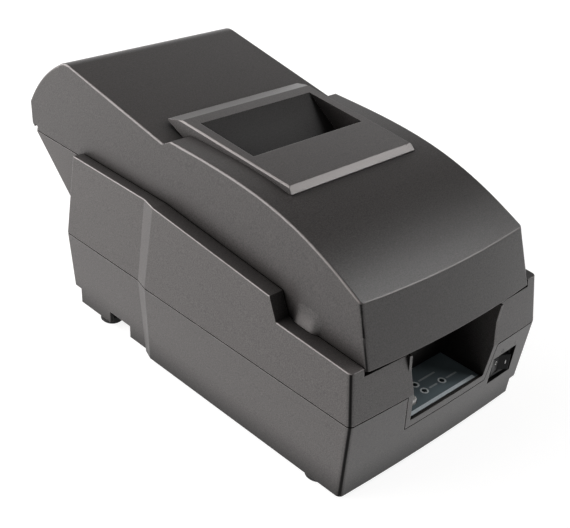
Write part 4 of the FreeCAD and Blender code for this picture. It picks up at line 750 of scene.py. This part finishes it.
def add_switch_marks(name, node_name, places, body, look):
    """Ring for off and bar for on, laid on the front of a node."""
    node = frame["nodes"][node_name]
    off_at, on_at = places
    outer = MARK_HEIGHT / 2
    half = MARK_STROKE / 2
    marks = bmesh.new()
    inside = on_front(node, circle(outer - MARK_STROKE), *off_at)
    outside = on_front(node, circle(outer), *off_at)
    ring(marks, inside, outside, FORWARDS)
    bar = [(-half, -outer), (half, -outer), (half, outer), (-half, outer)]
    slab(marks, on_front(node, bar, *on_at), FORWARDS)
    add_piece(name, marks, body, look)


# Details of the D-shaped socket and the plate at the rear

SERIAL_X = -19.0
SERIAL_FACE = 236.2
SERIAL_HEIGHT = 30.0


def on_rear(points, x, station, height):
    return [place(x + dx, station, height + dz) for dx, dz in points]


INSULATOR = ((-18.9, 3.7), (18.9, 3.7), (17.5, -3.7), (-17.5, -3.7))
INSULATOR_DEPTH = 0.1


def add_serial_insulator():
    """Dark face inside the socket."""
    insulator = bmesh.new()
    face = on_rear(INSULATOR, SERIAL_X, SERIAL_FACE, SERIAL_HEIGHT)
    slab(insulator, face, BACKWARDS * INSULATOR_DEPTH)
    add_piece("serial_insulator", insulator, "chassis", "socket_plastic")


CONTACT_ROWS = ((1.42, 13), (-1.42, 12))
CONTACT_PITCH = 2.77
CONTACT_RING = (0.45, 0.85)
CONTACT_POINTS = 16
CONTACT_DEPTH = 0.15


def add_serial_contacts():
    """Two rows of contacts in the socket."""
    contacts = bmesh.new()
    for row, count in CONTACT_ROWS:
        for index in range(count):
            along = (index - (count - 1) / 2) * CONTACT_PITCH
            at = (SERIAL_X + along, SERIAL_FACE + INSULATOR_DEPTH, SERIAL_HEIGHT + row)
            inner, outer = (on_rear(circle(radius, CONTACT_POINTS), *at) for radius in CONTACT_RING)
            ring(contacts, inner, outer, BACKWARDS * CONTACT_DEPTH)
    add_piece("serial_contacts", contacts, "chassis", "pinion_brass")


PLATE_FACE = 231.9
JACKSCREW_X = 23.5
JACKSCREW_BORE = 1.3
JACKSCREW_RADIUS = 2.7
JACKSCREW_DEPTH = 4.0
HEXAGON_SIDES = 6


def hexagon(radius):
    """Hexagon with a point in the middle of each side, to pair with a bore of twice as many points."""
    corners = circle(radius, HEXAGON_SIDES)
    points = []
    for start, end in zip(corners, corners[1:] + corners[:1]):
        middle = ((start[0] + end[0]) / 2, (start[1] + end[1]) / 2)
        points += [start, middle]
    return points


def add_jackscrews():
    """Hexagonal nut on each side of the socket."""
    jackscrews = bmesh.new()
    for side in (-JACKSCREW_X, JACKSCREW_X):
        at = (SERIAL_X + side, PLATE_FACE, SERIAL_HEIGHT)
        bore = on_rear(circle(JACKSCREW_BORE, 2 * HEXAGON_SIDES), *at)
        ring(jackscrews, bore, on_rear(hexagon(JACKSCREW_RADIUS), *at), BACKWARDS * JACKSCREW_DEPTH)
    add_piece("jackscrews", jackscrews, "chassis", "screw_steel")


SCREW_HEAD_RADIUS = 2.0
CROSS_LENGTH = 2.4
CROSS_WIDTH = 0.55


def add_screw_crosses():
    """Dark cross on the head of each plate screw."""
    low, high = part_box("plate_screws")
    inset = SCREW_HEAD_RADIUS * MM
    crosses = bmesh.new()
    for x in (low.x + inset, high.x - inset):
        middle = Vector((x, high.y, (low.z + high.z) / 2))
        for along, across in ((CROSS_LENGTH, CROSS_WIDTH), (CROSS_WIDTH, CROSS_LENGTH)):
            wide = Vector((along / 2, 0, 0)) * MM
            tall = Vector((0, 0, across / 2)) * MM
            bar = [middle - wide - tall, middle + wide - tall, middle + wide + tall, middle - wide + tall]
            slab(crosses, bar, BACKWARDS * PRINT_LIFT)
    add_piece("screw_crosses", crosses, "chassis", "mark_ink")


# Scene

add_camera()
bpy.context.scene.view_settings.view_transform = "Standard"
set_world()
add_lamps()
add_floor()
add_backdrop()
add_housing_looks()
add_plastic_looks()
add_metal_looks()
add_other_looks()
add_ink_looks()
dress_nodes()
add_panel_stripe()
add_led_rings()
add_caption_bars()
add_switch_marks("case_marks", "lower_case", CASE_MARKS, "chassis", "mark_ink")
add_switch_marks("rocker_marks", "power_rocker", ROCKER_MARKS, "power_rocker", "white_ink")
add_serial_insulator()
add_serial_contacts()
add_jackscrews()
add_screw_crosses()
